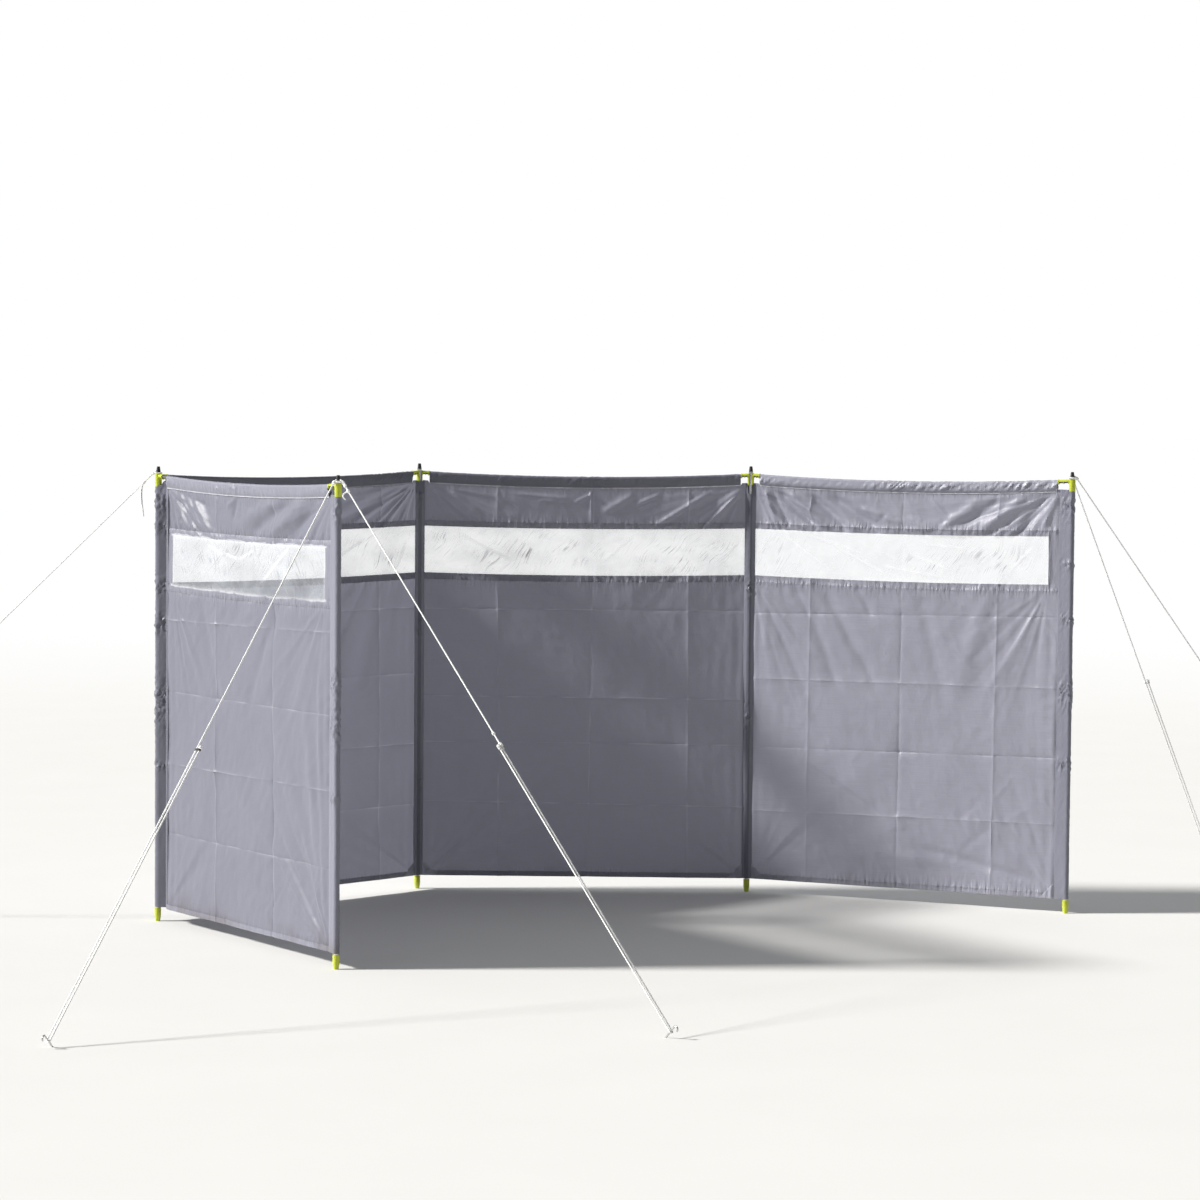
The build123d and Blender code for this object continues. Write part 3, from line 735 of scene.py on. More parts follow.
def make_sleeve(number, material):
    """A cloth tube round a pole, folded in at both ends, with a flange over each bay."""
    tips = tips_of(number)
    outline = sleeve_outline(number, tips)
    closed = np.concatenate([outline, outline[:1]])
    travel = travelled(closed)
    girth = travel[-1]
    # The two long edges of the strip meet at the first seam
    first = travel[np.argmax(outline @ tips[0])]
    around = np.linspace(0, girth, sleeve_columns)
    ring = np.stack([np.interp((around + first) % girth, travel, closed[:, k]) for k in (0, 1)], axis=-1)
    run = np.gradient(ring, axis=0)
    outward = np.stack([run[:, 1], -run[:, 0]], axis=-1) / np.linalg.norm(run, axis=1)[:, None]
    reach = np.linalg.norm(ring, axis=1)
    facing = ring @ lee_of(number) / reach
    top = np.full(sleeve_columns, sleeve_top)
    if number == slit_pole:
        top = top - slit_depth * smooth((facing - 0.55) / 0.35)
    if number == corner_pole:
        top = top + tail_rise * smooth((reach - 0.012) / 0.010) * (facing > 0)
    top = top - 0.002 * smooth(noise(around / 0.012, 0, 700 + number) + 0.3)
    z = hem_height + np.linspace(0, 1, sleeve_rows)[:, None] * (top - hem_height)
    free = smooth(np.min([np.linalg.norm(ring - tip, axis=1) for tip in tips], axis=0) / 0.010)
    lift = np.maximum(free * sleeve_lift(number, around, girth, z), -0.0007)
    inner_low = (hem_height + hem_depth * np.linspace(1, 0, 4)[:-1, None]) + 0 * top
    inner_high = top - turn_in * np.linspace(0, 1, 6)[1:, None]
    all_z = np.concatenate([inner_low, z, inner_high])
    behind = set_back * free
    all_lift = np.concatenate([0 * inner_low - behind, lift, 0 * inner_high + lift[-1] - behind])
    plan = pole_points[number] + ring + all_lift[..., None] * outward
    # Painted shade: darker where the cloth lies on the pole, and along the top 40 mm of the sleeve
    on_pole = smooth((0.0100 - reach) / 0.0016)
    if number in front_cores:
        on_pole = on_pole * smooth((facing - 0.66) / 0.16)
    on_pole = np.maximum(on_pole, smooth((all_z - sleeve_top + 0.040) / 0.010))
    beside, core = sleeve_painted_shades[number]
    shape = Shape()
    shape.add_grid(np.concatenate([plan, all_z[..., None]], axis=-1),
                   np.stack(np.broadcast_arrays(around + 7 + number, all_z), axis=-1),
                   soil=soil(number, around, all_z), shade=beside + (core - beside) * on_pole,
                   doubled=np.maximum(sleeve_doubled[number], on_pole),
                   gather=0.5 * np.exp(-(sleeve_top - all_z) / 0.02))
    piece = shape.build(f"sleeve_{number}", material)
    return piece


# Stitching
stitch_pitch = 0.004
stitch_length = 0.0027
stitch_width = 0.0007
stitch_proud = 0.0005
stitch_inset = 0.0022  # from the edge of a hem or border
flange_inset = 0.002  # from a seam to the stitches in the sleeve's flange


def add_stitches(shape, path, normal, half_depth):
    """Long lozenges of thread along a path, showing on both faces of the cloth."""
    travel = travelled(path)
    count = int(travel[-1] / stitch_pitch)
    if count < 1:
        return
    middles = (np.arange(count) + 0.5) * stitch_pitch
    first, last = (np.stack([np.interp(at, travel, path[:, k]) for k in range(3)], axis=-1)
                   for at in (middles - 0.5 * stitch_length, middles + 0.5 * stitch_length))
    middle, along = (first + last) / 2, last - first
    along /= np.linalg.norm(along, axis=1)[:, None]
    normal = np.broadcast_to(normal, along.shape)
    side = np.cross(along, normal) * stitch_width / 2
    deep = normal * (half_depth + stitch_proud)
    corners = (first, middle + side, middle + deep, last, middle - side, middle - deep)
    points = np.stack(corners, axis=1).reshape(-1, 3)
    faces = np.array([(0, 1, 2), (1, 3, 2), (3, 4, 2), (4, 0, 2), (1, 0, 5), (3, 1, 5), (4, 3, 5), (0, 4, 5)])
    faces = (np.arange(count)[:, None, None] * 6 + faces).reshape(-1, 3) + shape.count
    shape.add(points, points[:, :2], faces)


def make_stitching(bay, material):
    shape = Shape()
    normal = np.array([*bay.lee, 0.0])

    def row(s, z, depth=layer_gap, shift=-layer_gap / 2):
        s, z = np.broadcast_arrays(s, z)
        add_stitches(shape, bay.place(s, z, relief(bay, s, z) + shift), normal, depth / 2)

    # A rolled edge along the foot of the tunnel, on both faces
    for side in (1, -1):
        run = np.linspace(bay.tunnel[0] + 0.001, bay.tunnel[1] - 0.001, 420)
        out = relief(bay, run, tunnel_seam(run)) + side * (piping_radius + piping_gap) - layer_gap / 2
        add_cord(shape, bay.place(run, tunnel_seam(run) - piping_drop, out), piping_radius, 6)
    left, right = bay.seams
    across = np.linspace(left + flange, right - flange, 400)
    covered = np.linspace(*bay.tunnel, 400)
    row(covered, tunnel_seam(covered) - 0.0005)
    row(across, hem_height + hem_depth - stitch_inset)
    for line, sign, depth in ((window_sill, -1, band_below), (window_head, 1, band_above)):
        row(across, line(across) + sign * stitch_inset)
        row(across, line(across) + sign * (depth - stitch_inset))
    for edge, side in zip(bay.window, (-1, 1)):
        if min(abs(edge - left), abs(edge - right)) > least_border:
            row(edge + side * stitch_inset, np.linspace(window_sill(edge), window_head(edge), 60))
    for seam, side in zip(bay.seams, (1, -1)):
        up = np.linspace(hem_height + 0.003, sleeve_top - 0.004, 500)
        row(seam + side * flange_inset, up, 2 * flange_gap, 0)
    return shape.build(f"stitching_{bay.number}", material, sharp_angle=180)


# Cords
def smooth_path(points, step=0.001):
    """A curve through given points."""
    points = np.asarray(points, float)
    ends = np.concatenate([[2 * points[0] - points[1]], points, [2 * points[-1] - points[-2]]])
    path = []
    for a, b, c, d in zip(ends, ends[1:], ends[2:], ends[3:]):
        t = np.linspace(0, 1, max(2, int(np.linalg.norm(c - b) / step)), endpoint=False)[:, None]
        square, cube = (2 * a - 5 * b + 4 * c - d) * t ** 2, (3 * b - a - 3 * c + d) * t ** 3
        path.append(0.5 * (2 * b + (c - a) * t + square + cube))
    return np.concatenate(path + [points[-1:]])


def add_cord(shape, path, radius=cord_radius, sides=12):
    """A round cord along a path, with rounded ends."""
    path = np.asarray(path, float)
    run = np.gradient(path, axis=0)
    run /= np.linalg.norm(run, axis=1)[:, None]
    side = np.cross(run[0], (0.3, 0.5, 0.8))
    frames = []
    for tangent in run:
        side = side - tangent * (side @ tangent)
        side = side / np.linalg.norm(side)
        frames.append((side, np.cross(tangent, side)))
    # How far each ring of a rounded end stands out, and its width, in radii
    ahead, width = np.array([(0.6, 0.25), (0.45, 0.7), (0.15, 0.95)]).T
    first = path[0] - ahead[:, None] * radius * run[0]
    last = path[-1] + ahead[::-1, None] * radius * run[-1]
    centres = np.concatenate([first, path, last])
    sizes = np.concatenate([width, np.ones(len(path)), width[::-1]]) * radius
    frames = np.array(frames[:1] * len(first) + frames + frames[-1:] * len(last))
    turns = np.linspace(0, 2 * pi, sides, endpoint=False)[None, :, None]
    spokes = np.cos(turns) * frames[:, None, 0] + np.sin(turns) * frames[:, None, 1]
    places = np.broadcast_arrays(turns[..., 0] / (2 * pi), travelled(centres)[:, None])
    start = shape.count
    shape.add_grid(centres[:, None] + sizes[:, None, None] * spokes, np.stack(places, axis=-1), wrap=True)
    end = start + (len(centres) - 1) * sides
    shape.faces.append(np.array([np.arange(sides)[::-1] + start, np.arange(sides) + end]))


def add_knot(shape, centre, along, radius=cord_radius, turns=2.5, seed=0):
    """A barrel knot: the cord wound over itself."""
    along = along / np.linalg.norm(along)
    side = np.cross(along, (0.2, 0.9, 0.4))
    side /= np.linalg.norm(side)
    other = np.cross(along, side)
    t = np.linspace(0, 1, 40)
    turn = 2 * pi * turns * t + seed
    reach = radius * 1.45 * (0.75 + 0.25 * np.sin(pi * t))
    length = turns * 1.75 * radius
    path = centre + ((t - 0.5) * length)[:, None] * along
    path = path + (reach * np.cos(turn))[:, None] * side + (reach * np.sin(turn))[:, None] * other
    add_cord(shape, path, radius)


class Guy:
    """A guy line in its own axes: x up the line from its peg, z along the peg."""

    def __init__(self, pole, angle, hand):
        self.pole = pole
        self.away = np.array([cos(radians(angle)), sin(radians(angle)), 0.0])
        foot = np.array([*pole_points[pole], 0.0])
        self.origin = foot + self.away * guy_reach + (0, 0, guy_loop_height)
        rise, run = guy_start_height - guy_loop_height, guy_reach - guy_start_radius
        self.length = hypot(rise, run)
        self.x = (-self.away * run + (0, 0, rise)) / self.length
        self.z = (self.away * rise + (0, 0, run)) / self.length
        self.y = np.cross(self.z, self.x)
        self.slider = self.length * slider_share
        self.strand = hand * strand_offset

    def place(self, x, y, z=0.0):
        x, y, z = np.broadcast_arrays(np.asarray(x, float), y, z)
        return self.origin + x[..., None] * self.x + y[..., None] * self.y + z[..., None] * self.z


guy_rows = [Guy(*row) for row in guys]
knots_below_hitch = {2: (), 1: (0.036,), 3: (0.012, 0.030), 4: (), 5: ()}
knots_above_slider = {3: 0.046}
strand_start = 0.004  # past the end of the line, inside its hitch
strand_end = 0.004  # short of the peg, where the loop round it sets off
strand_tail = 0.010  # of the strand that comes back, above its slider
tail_knot_rise = 0.0075
bar_knot_rise = 0.0110
head_drop = 0.002  # of a line's first knot below its hitch
loose_drop = 0.037  # of the knot that holds the long loose ends
short_loose_drop = 0.030
winding_gap = 0.0003
cord_slack = 0.0002  # round a cord in a slider, and under a hitch
winding_spread = 0.0030  # of the last turn of a hitch, over the first
winding_rise = 0.0016


def make_guy_line(number, material):
    guy = guy_rows[number - 1]
    y = guy.strand
    shape = Shape()
    down = guy.place(np.linspace(guy.length + strand_start, strand_end, 330), y)
    turn = np.linspace(pi / 2, 3 * pi / 2, 13)
    loop = guy.place(strand_offset * np.cos(turn), y * np.sin(turn))
    back = guy.place(np.linspace(strand_end, guy.slider + strand_tail, 160), -y)
    add_cord(shape, np.concatenate([down, loop, back]))
    add_knot(shape, guy.place(guy.slider + tail_knot_rise, -y), guy.x, seed=number)
    if number in knots_above_slider:
        add_knot(shape, guy.place(guy.slider + knots_above_slider[number], y), guy.x, turns=2.0, seed=number)
        add_knot(shape, guy.place(guy.slider + bar_knot_rise, y), guy.x, cord_radius * 1.3, seed=number)
    for along in knots_below_hitch[number]:
        add_knot(shape, guy.place(guy.length - along, y), guy.x, seed=2 * number)
    return shape.build(f"guy_{number}", material, sharp_angle=180)


def tail_points(start, away, drop, bend):
    """A short cord end that hangs from a knot and curls a little."""
    side = np.array([-away[1], away[0], 0.0])
    shares = np.array([0.0, 0.12, 0.35, 0.65, 1.0])[:, None]
    out = np.array([0.0, 0.004, 0.006, 0.005, 0.001])[:, None]
    return start + shares * (0, 0, -drop) + out * away + bend * np.sin(2.4 * shares) * side


def make_hitches(material):
    shape = Shape()
    winding = pole_radius + cord_radius + winding_gap
    for pole in sorted({guy.pole for guy in guy_rows}):
        lines = [guy for guy in guy_rows if guy.pole == pole]
        centre = np.array([*pole_points[pole], hitch_bottom + cord_radius + cord_slack])
        turns = 2.3 if len(lines) > 1 else 1.2
        t = np.linspace(0, turns, int(40 * turns))
        over = smooth((t - 0.9) / 0.4)
        reach = winding + winding_spread * over
        lift = 0.0004 * np.sin(2 * pi * t) + winding_rise * over
        angle = atan2(lines[0].away[1], lines[0].away[0]) + 2 * pi * t
        add_cord(shape, centre + np.stack([reach * np.cos(angle), reach * np.sin(angle), lift], axis=-1))
    for number, guy in enumerate(guy_rows, 1):
        y = guy.strand
        head = guy.place(guy.length - head_drop, y)
        add_knot(shape, head, guy.x, turns=3.0 if guy.pole == 1 else 2.0, seed=number)
        tie = [guy.place(guy.length + 0.008, y * 0.2), guy.place(guy.length + 0.003, y * 0.9), head]
        add_cord(shape, smooth_path(tie))
    # Loose ends
    first, third = guy_rows[0], guy_rows[2]
    hang = first.place(first.length - loose_drop, first.strand)
    add_knot(shape, hang, first.x, turns=3.0, seed=3)
    add_cord(shape, smooth_path(tail_points(hang, first.away, 0.072, 0.010)))
    add_cord(shape, smooth_path(tail_points(hang, first.away, 0.088, -0.006)))
    hang = third.place(third.length - short_loose_drop, third.strand)
    add_cord(shape, smooth_path(tail_points(hang, -third.away, 0.020, 0.012)))
    return shape.build("cord_hitches", material, sharp_angle=180)


def make_peg(number, material):
    """A peg pushed in across its line, with a hook at the top."""
    guy = guy_rows[number - 1]
    below = guy_loop_height * guy.length / (guy_reach - guy_start_radius) + peg_radius * 2
    shaft = [guy.place(0, 0, z) for z in np.linspace(-below, peg_rise, 24)]
    turns = np.linspace(pi, 0, 18)[1:]
    hook = [guy.place(-hook_radius - hook_radius * cos(a), 0, peg_rise + hook_radius * sin(a)) for a in turns]
    shape = Shape()
    add_cord(shape, np.array(shaft + hook), peg_radius, 16)
    for points in shape.points:
        points[:, 2] = np.maximum(points[:, 2], 0)  # the peg is cut off at the floor
    return shape.build(f"peg_{number}", material, sharp_angle=60)


def make_slider(number, material):
    """A bar with two holes for the strands, with rounded edges."""
    guy = guy_rows[number - 1]
    bevel = 0.0008
    curve = bpy.data.curves.new("slider outline", "CURVE")
    curve.dimensions = "2D"
    curve.fill_mode = "BOTH"
    curve.extrude = slider_length / 2 - bevel
    curve.bevel_depth = bevel
    curve.bevel_resolution = 3
    end = slider_depth / 2 - bevel
    flat = slider_width / 2 - slider_depth / 2
    turns = np.linspace(-pi / 2, pi / 2, 13)
    rim = [(side * (flat + end * cos(a)), side * end * sin(a)) for side in (1, -1) for a in turns]
    hole = cord_radius + cord_slack + bevel
    ring = np.linspace(0, 2 * pi, 24, endpoint=False)
    holes = [[(c + hole * cos(a), hole * sin(a)) for a in ring] for c in (-strand_offset, strand_offset)]
    for outline in [rim] + holes:
        spline = curve.splines.new("POLY")
        spline.points.add(len(outline) - 1)
        for point, (x, y) in zip(spline.points, outline):
            point.co = (x, y, 0, 1)
        spline.use_cyclic_u = True
    holder = bpy.data.objects.new("slider outline", curve)
    mesh = bpy.data.meshes.new_from_object(holder)
    bpy.data.objects.remove(holder)
    turn = Matrix((guy.y, guy.z, guy.x)).transposed().to_4x4()
    mesh.transform(Matrix.Translation(guy.place(guy.slider, 0)) @ turn)
    shade_smooth(mesh, 45)
    mesh.materials.clear()
    mesh.materials.append(material)
    return add_object(f"slider_{number}", mesh)


# Films
# Patches of fine creases in each film, painted with dark streaks that stand in for reflections: place in the
# bay and size in mm, lean from upright in degrees
film_creases = {
    1: ((200, 960, 160, 90, 24), (700, 950, 200, 90, -20), (450, 1000, 120, 30, 40)),
    2: ((720, 985, 50, 30, 50), (800, 930, 50, 30, 30), (300, 960, 160, 50, -30)),
    3: ((310, 955, 80, 50, 28), (440, 955, 60, 30, 40), (200, 945, 40, 40, 20), (770, 945, 130, 50, -35),
        (80, 980, 50, 30, 35)),
    4: ((530, 940, 80, 30, -58), (620, 965, 60, 20, -62), (60, 955, 40, 40, 30), (720, 950, 100, 50, -30)),
}
# Long folds in each film, raised and painted with a highlight, in mm from place to place in the bay
film_folds = {
    1: ((370, 930, 240, 1015), (580, 985, 660, 1005), (500, 975, 580, 990), (420, 1000, 500, 975)),
    2: ((600, 930, 720, 990), (850, 910, 880, 980)),
    3: ((120, 1000, 260, 930), (520, 930, 600, 1000), (840, 920, 900, 990)),
    4: ((100, 1010, 220, 930), (180, 1010, 330, 965), (240, 990, 420, 900), (480, 965, 580, 930),
        (400, 930, 560, 905), (520, 995, 630, 985), (760, 930, 820, 990)),
}
film_fold_width = 0.004
crease_pitch = 0.012


def make_film(bay, material):
    shape = Shape()
    left = bay.window[0] - (film_overlap if bay.window[0] > least_margin else 0)
    right = bay.window[1] + (film_overlap if bay.window[1] < bay_width - least_margin else 0)
    s = stops([left, right], [film_step])
    share = np.linspace(0, 1, film_rows)[:, None]
    low, high = window_sill(s) - film_overlap, window_head(s) + film_overlap
    z = low + share * (high - low)
    inside = smooth((s - left) / 0.03) * smooth((right - s) / 0.03)
    inside = inside * smooth(share / 0.15) * smooth((1 - share) / 0.15)
    waves = 0.0022 * noise(s / 0.11 + 0.6 * z / 0.05, z / 0.06, 600 + bay.number)
    waves = waves + 0.0009 * noise(s / 0.030 - z / 0.05, z / 0.035 + s / 0.1, 610 + bay.number)
    # Masks for painted dark reflections over the creases and painted highlights along the folds
    creases, fold_glints = np.zeros(z.shape), np.zeros(z.shape)
    bend = 2 * noise(s / 0.05, z / 0.05, 640)
    for k, (*place, lean) in enumerate(film_creases[bay.number]):
        creased = patch(s, z, *metres(place))
        creased = creased * smooth(0.5 + 1.4 * noise(s / 0.04, z / 0.03, 630 + 10 * bay.number + k))
        across = s * cos(radians(lean)) - z * sin(radians(lean))
        waves = waves + 0.00025 * creased * np.sin(2 * pi * across / crease_pitch + bend)
        creases = np.maximum(creases, creased)
    for ends in film_folds[bay.number]:
        fold = long_fold(s, z, *metres(ends), film_fold_width, 1.0)
        waves = waves + 0.0014 * fold
        fold_glints = np.maximum(fold_glints, fold)
    out = relief(bay, s, z) * (1 - 0.75 * inside) - 0.0006 + inside * waves
    from_sides = np.minimum(s - bay.window[0], bay.window[1] - s)
    from_rim = np.minimum(from_sides, np.minimum(z - window_sill(s), window_head(s) - z))
    shape.add_grid(bay.place(s, z, out), bay.on_cloth(s, z), streaks=creases * inside, folds=fold_glints,
                   rim=np.exp(-np.maximum(from_rim, 0) / 0.004))
    return shape.build(f"window_{bay.number}", material, sharp_angle=180)


# Materials
class Looks:
    """Short ways to add nodes to a material or to the sky."""

    def __init__(self, owner):
        self.owner = owner
        owner.use_nodes = True
        owner.node_tree.nodes.clear()

    def node(self, kind, inputs=(), **settings):
        """The outputs of a new node, whose inputs may be outputs of other nodes."""
        tree = self.owner.node_tree
        made = tree.nodes.new(kind)
        for name, value in settings.items():
            setattr(made, name, value)
        for key, value in dict(inputs).items():
            if isinstance(value, bpy.types.NodeSocket):
                tree.links.new(value, made.inputs[key])
            else:
                made.inputs[key].default_value = value
        return made.outputs

    def cloth(self):
        """The surface coordinates."""
        return self.node("ShaderNodeUVMap", uv_map="Cloth")["UV"]

    def within(self, name="Object"):
        """The place in an object, or the direction in the sky."""
        return self.node("ShaderNodeTexCoord")[name]

    def mark(self, name):
        return self.node("ShaderNodeAttribute", attribute_name=name)["Fac"]

    def mapped(self, place, **inputs):
        return self.node("ShaderNodeMapping", {"Vector": place, **inputs})["Vector"]

    def noise(self, place, scale, detail, rough=0.5):
        inputs = {"Vector": self.mapped(place, Scale=scale), "Scale": 1.0, "Detail": detail}
        return self.node("ShaderNodeTexNoise", {**inputs, "Roughness": rough})["Fac"]

    def ramp(self, value, low, high, to_low=0.0, to_high=1.0):
        inputs = {0: value, 1: low, 2: high, 3: to_low, 4: to_high}
        return self.node("ShaderNodeMapRange", inputs, interpolation_type="SMOOTHSTEP")["Result"]

    def mix(self, share, first, second):
        return self.node("ShaderNodeMix", {0: share, 6: first, 7: second}, data_type="RGBA")[2]

    def maths(self, operation, first, second=0.0):
        return self.node("ShaderNodeMath", {0: first, 1: second}, operation=operation)[0]

    def bumps(self, *layers):
        """The normal under layers of relief, each with its height, distance and strength."""
        under = {}
        for height, distance, strength in layers:
            inputs = {"Height": height, "Distance": distance, "Strength": strength, **under}
            under = {"Normal": self.node("ShaderNodeBump", inputs)["Normal"]}
        return under["Normal"]

    def skin(self, **inputs):
        named = {name.replace("_", " "): value for name, value in inputs.items()}
        return self.node("ShaderNodeBsdfPrincipled", named)[0]

    def blend(self, share, first, second):
        return self.node("ShaderNodeMixShader", {0: share, 1: first, 2: second})[0]

    def show(self, surface, kind="ShaderNodeOutputMaterial"):
        self.node(kind, {"Surface": surface})
        return self.owner


# Colours of the cloth, of what shows on it, of its painted shade and of a painted highlight
thread_tones = (0.314, 0.317, 0.382, 1), (0.334, 0.338, 0.406, 1)
patch_tone = (0.303, 0.303, 0.368, 1)
painted_shade_tone = (0.198, 0.202, 0.252, 1)
deep_painted_shade_tone = (0.085, 0.087, 0.112, 1)
worn_tone = (0.42, 0.42, 0.49, 1)
# Painted highlight: a pale line along the foot of the tunnel
seam_highlight_tone = (0.50, 0.50, 0.56, 1)
soil_tone = (0.125, 0.106, 0.106, 1)
weave_scale = 210.0


def grey_cloth():
    """Plain woven polyester with a light coating."""
    looks = Looks(bpy.data.materials.new("grey cloth"))
    cloth = looks.cloth()
    slubs = looks.noise(cloth, (11, 430, 1), 3)
    cross = looks.noise(cloth, (380, 10, 1), 2)
    patches = looks.noise(cloth, (7, 7, 1), 4)
    tucks = looks.noise(cloth, (120, 24, 1), 2)
    rumple = looks.noise(cloth, (26, 20, 1), 5, 0.55)
    yarns = {"Vector": cloth, "Scale": weave_scale}
    warp, weft = (looks.node("ShaderNodeTexWave", yarns, bands_direction=way)["Fac"] for way in ("X", "Y"))
    weave = looks.maths("MAXIMUM", warp, weft)
    # Painted shade: the shade mark darkens the cloth to the shaded tone at 1 and on to the deep tone at 2
    shade = looks.mark("shade")
    deep = looks.maths("MAXIMUM", looks.maths("SUBTRACT", shade, 1.0), 0.0)
    colour = looks.mix(looks.ramp(slubs, 0.3, 0.7), *thread_tones)
    colour = looks.mix(looks.ramp(patches, 0.35, 0.7, 0, 0.4), colour, patch_tone)
    colour = looks.mix(looks.maths("MINIMUM", shade, 1.0), colour, painted_shade_tone)
    colour = looks.mix(deep, colour, deep_painted_shade_tone)
    # seam is a painted highlight; wear and soil are marks on the cloth itself
    for name, low, high, most, tone in (("wear", 0.1, 1.0, 0.5, worn_tone),
                                        ("seam", 0.1, 0.9, 0.8, seam_highlight_tone),
                                        ("soil", 0.05, 1.0, 0.6, soil_tone)):
        colour = looks.mix(looks.ramp(looks.mark(name), low, high, 0, most), colour, tone)
    tucked = looks.maths("MULTIPLY", tucks, looks.mark("gather"))
    normal = looks.bumps((slubs, 0.0003, 0.5), (cross, 0.00015, 0.5), (weave, 0.00012, 0.5),
                         (rumple, 0.0022, 0.7), (tucked, 0.0065, 1.0))
    front = looks.skin(Base_Color=colour, Roughness=looks.ramp(patches, 0.3, 0.7, 0.40, 0.47), Normal=normal,
                       Specular_IOR_Level=0.5, Sheen_Weight=0.12, Sheen_Roughness=0.4)
    through = looks.node("ShaderNodeBsdfTranslucent", {"Color": colour, "Normal": normal})[0]
    return looks.show(looks.blend(looks.ramp(looks.mark("doubled"), 0.0, 1.0, 0.27, 0.04), front, through))


def clear_film():
    """Clear flexible film with fine parallel creases painted with dark reflections, long folds and hair lines
    painted with highlights, and paler edges.
    """
    looks = Looks(bpy.data.materials.new("clear film"))
    cloth = looks.cloth()
    bend = looks.node("ShaderNodeTexNoise", {"Vector": cloth, "Scale": 9.0, "Detail": 1.0})["Color"]
    turned = looks.mapped(looks.mix(0.06, cloth, bend), Rotation=(0, 0, radians(32)))
    lines = looks.noise(turned, (250, 17, 1), 2)
    hairs = looks.noise(turned, (340, 9, 1), 1)
    haze = looks.noise(cloth, (9, 14, 1), 3)
    # Painted reflections: dark streaks over the creased patches. Painted highlights: pale long folds and hair
    # lines, and paler edges
    dark = looks.maths("MULTIPLY", looks.mark("streaks"), looks.ramp(lines, 0.50, 0.66))
    light = looks.maths("MAXIMUM", looks.mark("folds"), looks.mark("rim"))
    light = looks.maths("MAXIMUM", looks.ramp(hairs, 0.64, 0.74, 0, 0.5), light)
    alpha = looks.maths("ADD", looks.ramp(haze, 0.3, 0.7, 0.20, 0.36), looks.maths("MULTIPLY", dark, 0.45))
    alpha = looks.maths("ADD", alpha, looks.maths("MULTIPLY", light, 0.16))
    colour = looks.mix(dark, (0.66, 0.69, 0.74, 1), (0.18, 0.18, 0.21, 1))
    colour = looks.mix(light, colour, (0.86, 0.88, 0.92, 1))
    return looks.show(looks.skin(Base_Color=colour, Roughness=0.14, Alpha=alpha, Specular_IOR_Level=0.7,
                                 Normal=looks.bumps((lines, 0.0004, 0.5))))


def white_cord():
    """Braided cord, with the strands of its braid crossing round it."""
    looks = Looks(bpy.data.materials.new("white cord"))
    strands = []
    for hand in (1, -1):
        turned = looks.mapped(looks.cloth(), Scale=(hand * 4, 420, 1))
        parts = looks.node("ShaderNodeSeparateXYZ", {0: turned})
        run = looks.maths("MULTIPLY", looks.maths("ADD", parts["X"], parts["Y"]), 2 * pi)
        strands.append(looks.maths("SINE", run))
    braid = looks.maths("MAXIMUM", *strands)
    grime = looks.noise(looks.cloth(), (2, 16, 1), 3)
    colour = looks.mix(looks.ramp(braid, -0.4, 1.0), (0.90, 0.90, 0.88, 1), (0.94, 0.94, 0.93, 1))
    colour = looks.mix(looks.ramp(grime, 0.55, 0.8, 0, 0.25), colour, (0.74, 0.71, 0.66, 1))
    return looks.show(looks.skin(Base_Color=colour, Roughness=0.65, Sheen_Weight=0.2,
                                 Normal=looks.bumps((braid, 0.00016, 0.6))))


def simple(name, colour, rough, metallic=0.0, grain=(400, 400, 400), depth=0.00005, spread=0.12, **more):
    """A moulded, drawn or wound surface with its own fine grain and a little colour variation."""
    looks = Looks(bpy.data.materials.new(name))
    fine = looks.noise(looks.within(), grain, 3)
    broad = looks.noise(looks.within(), (30, 30, 30), 3)
    dark, light = ([min(1, c * (1 + way * spread)) for c in colour] + [1] for way in (-1, 1))
    shade = looks.mix(looks.ramp(broad, 0.3, 0.7), dark, light)
    roughness = looks.ramp(fine, 0.2, 0.8, max(0, rough - 0.06), rough + 0.06)
    return looks.show(looks.skin(Base_Color=shade, Roughness=roughness, Metallic=metallic,
                                 Normal=looks.bumps((fine, depth, 0.6)), **more))


cloth_material = grey_cloth()
thread_material = simple("thread", (0.50, 0.50, 0.55), 0.6)
film_material = clear_film()
node_materials = {
    "pole_steel": simple("pole steel", (0.72, 0.72, 0.73), 0.26, 1.0, (900, 900, 6), 0.00002, 0.05),
    "rail_rod": simple("rail rod", (0.09, 0.09, 0.10), 0.5, 0.0, (60, 60, 60), 0.00004),
    "cap_plastic": simple("cap plastic", (0.02, 0.02, 0.022), 0.42),
    "lime_plastic": simple("lime plastic", (0.50, 0.56, 0.045), 0.32, Subsurface_Weight=0.15,
                           Subsurface_Radius=(0.004, 0.004, 0.001)),
    "white_cord": white_cord(),
    "slider_plastic": simple("slider plastic", (0.7, 0.7, 0.7), 0.45),
    "peg_steel": simple("peg steel", (0.6, 0.6, 0.6), 0.35, 1.0, (300, 300, 300)),
}
slots = {row["node"]: row["material_slot"] for row in frame["record"]["subparts"]}
for name, node in frame["nodes"].items():
    if slots[name] in node_materials:
        node.data.materials.clear()
        node.data.materials.append(node_materials[slots[name]])

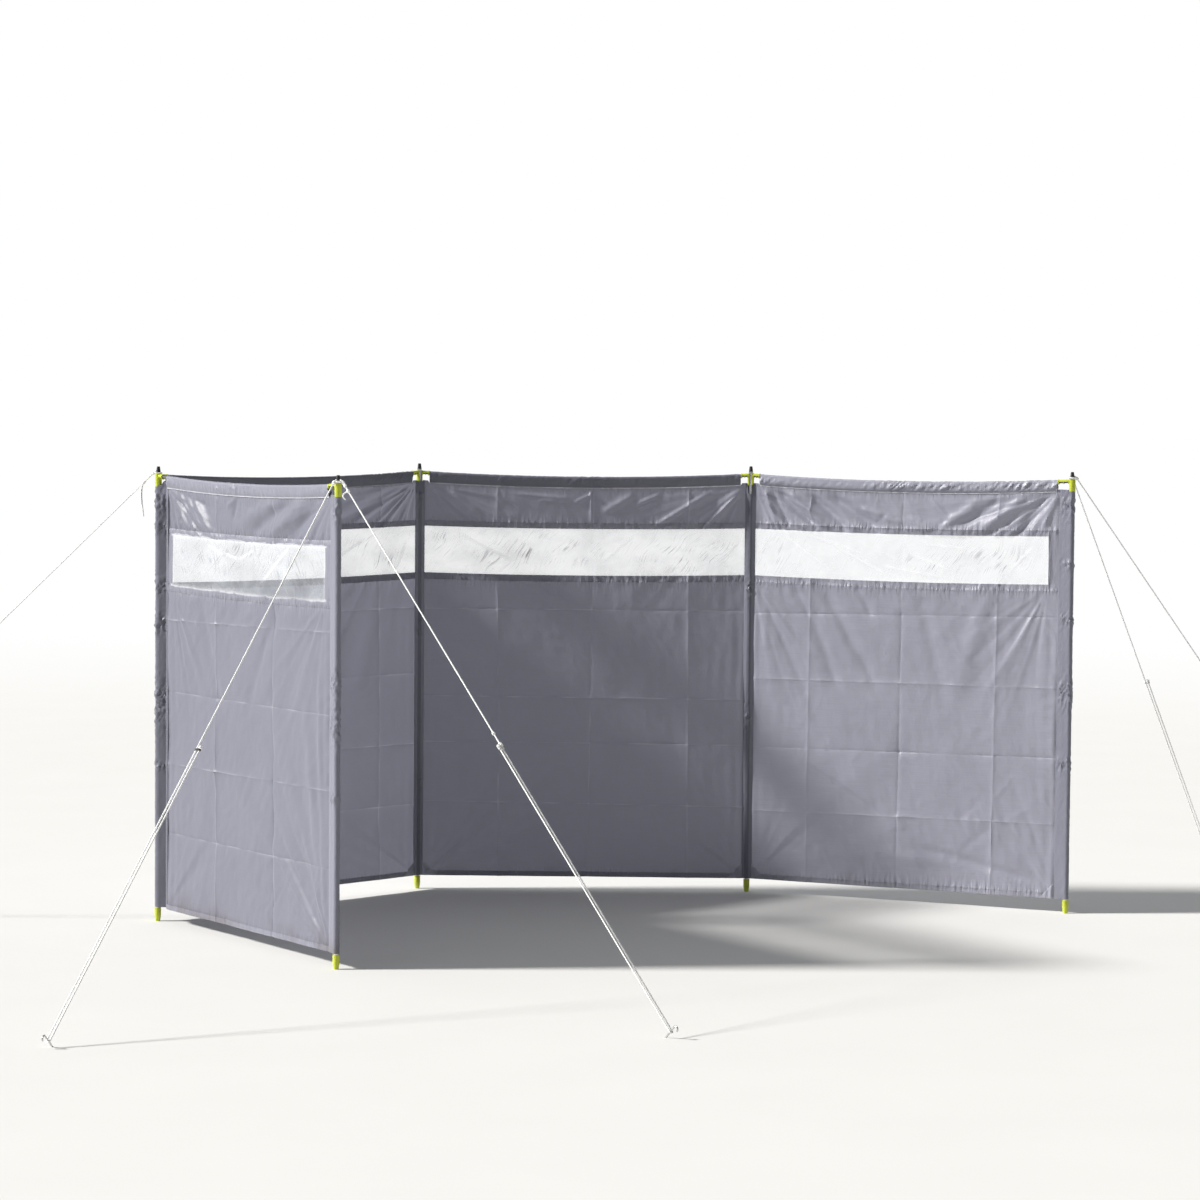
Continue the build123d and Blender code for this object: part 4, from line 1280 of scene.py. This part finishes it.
# Pieces
black_slider = 2  # the line whose slider is the black bar
bays = [Bay(number) for number in range(1, bay_count + 1)]
for bay in bays:
    panel = finish_piece(make_panel(bay, cloth_material), "grey_cloth", f"cloth_panel_{bay.number}")
    film = finish_piece(make_film(bay, film_material), "clear_film", f"window_film_{bay.number}")
    finish_piece(make_stitching(bay, thread_material), "grey_cloth")
for number in range(1, pole_count + 1):
    finish_piece(make_sleeve(number, cloth_material), "grey_cloth", f"pole_sleeve_{number}")
for number in range(1, len(guys) + 1):
    finish_piece(make_guy_line(number, node_materials["white_cord"]), "white_cord", f"guy_line_{number}")
    slider_slot = "cap_plastic" if number == black_slider else "slider_plastic"
    finish_piece(make_slider(number, node_materials[slider_slot]), slider_slot, "line_sliders")
for number in range(1, len(guys) + 1):
    finish_piece(make_peg(number, node_materials["peg_steel"]), "peg_steel", f"ground_peg_{number}")
finish_piece(make_hitches(node_materials["white_cord"]), "white_cord", "guy_hitches")


# Floor, light and camera
def make_floor():
    shape = Shape()
    rings = np.linspace(0.001, 14.0, 40)[:, None]
    turns = np.linspace(0, 2 * pi, 96, endpoint=False)[None, :]
    points = np.stack([rings * np.cos(turns), rings * np.sin(turns), 0 * rings * turns], axis=-1)
    shape.add_grid(points, points[..., :2], wrap=True)
    looks = Looks(bpy.data.materials.new("floor"))
    place = looks.within()
    far = looks.node("ShaderNodeVectorMath", {0: place}, operation="LENGTH")["Value"]
    colour = looks.mix(looks.noise(place, (3, 3, 3), 3), (0.70, 0.69, 0.67, 1), (0.73, 0.72, 0.70, 1))
    matt = looks.skin(Base_Color=colour, Roughness=0.9)
    # The floor fades into the white of the sky, where the camera sees it
    white = looks.node("ShaderNodeEmission", {"Color": (1, 1, 1, 1), "Strength": 1.0})[0]
    rays = looks.node("ShaderNodeLightPath")["Is Camera Ray"]
    share = looks.maths("MULTIPLY", looks.ramp(far, 4.0, 11.0), rays)
    floor = shape.build("floor", looks.show(looks.blend(share, matt, white)))


def make_sky():
    """White to the camera, with a fill strongest from beyond the windbreak and weakest from the right."""
    looks = Looks(bpy.data.worlds.new("studio"))
    rays = looks.node("ShaderNodeLightPath")
    seen = looks.maths("MAXIMUM", rays["Is Camera Ray"], rays["Is Transmission Ray"])
    heading = looks.node("ShaderNodeSeparateXYZ", {0: looks.within("Generated")})
    from_back = looks.ramp(heading["Y"], -0.7, 0.7, 0.09, 0.54)
    from_left = looks.ramp(heading["X"], -0.7, 0.7, 0.13, 0)
    strength = looks.maths("ADD", from_back, from_left)
    fill, white = (looks.node("ShaderNodeBackground", {"Color": colour, "Strength": power})[0]
                   for colour, power in (((0.94, 0.97, 1, 1), strength), ((1, 1, 1, 1), 1.0)))
    bpy.context.scene.world = looks.show(looks.blend(seen, fill, white), "ShaderNodeOutputWorld")


def make_key_light():
    lamp = bpy.data.lights.new("key", "SUN")
    lamp.energy = 5.6
    lamp.angle = radians(7)
    lamp.color = (1.0, 0.985, 0.955)
    azimuth, elevation = radians(184), radians(33)
    towards = Vector((cos(azimuth) * cos(elevation), sin(azimuth) * cos(elevation), sin(elevation)))
    add_object("key", lamp).rotation_euler = towards.to_track_quat("Z", "Y").to_euler()


def make_camera():
    """The photograph's viewpoint: a long lens at chest height, rolled by half a degree."""
    lens = bpy.data.cameras.new("camera")
    lens.sensor_width = 36
    lens.lens = 108
    lens.clip_end = 60
    yaw, pitch, roll = radians(0.557), radians(3.353), radians(0.501)
    forward = Vector((sin(yaw) * cos(pitch), cos(yaw) * cos(pitch), -sin(pitch)))
    side = Vector((cos(yaw), -sin(yaw), 0))
    up = side.cross(forward)
    right = cos(roll) * side + sin(roll) * up
    up = cos(roll) * up - sin(roll) * side
    turn = Matrix((right, up, -forward)).transposed().to_4x4()
    camera = add_object("camera", lens)
    camera.matrix_world = Matrix.Translation((0.4114, -10.1125, 1.4125)) @ turn
    bpy.context.scene.camera = camera


make_floor()
make_sky()
make_key_light()
make_camera()
bpy.context.scene.view_settings.view_transform = "Standard"
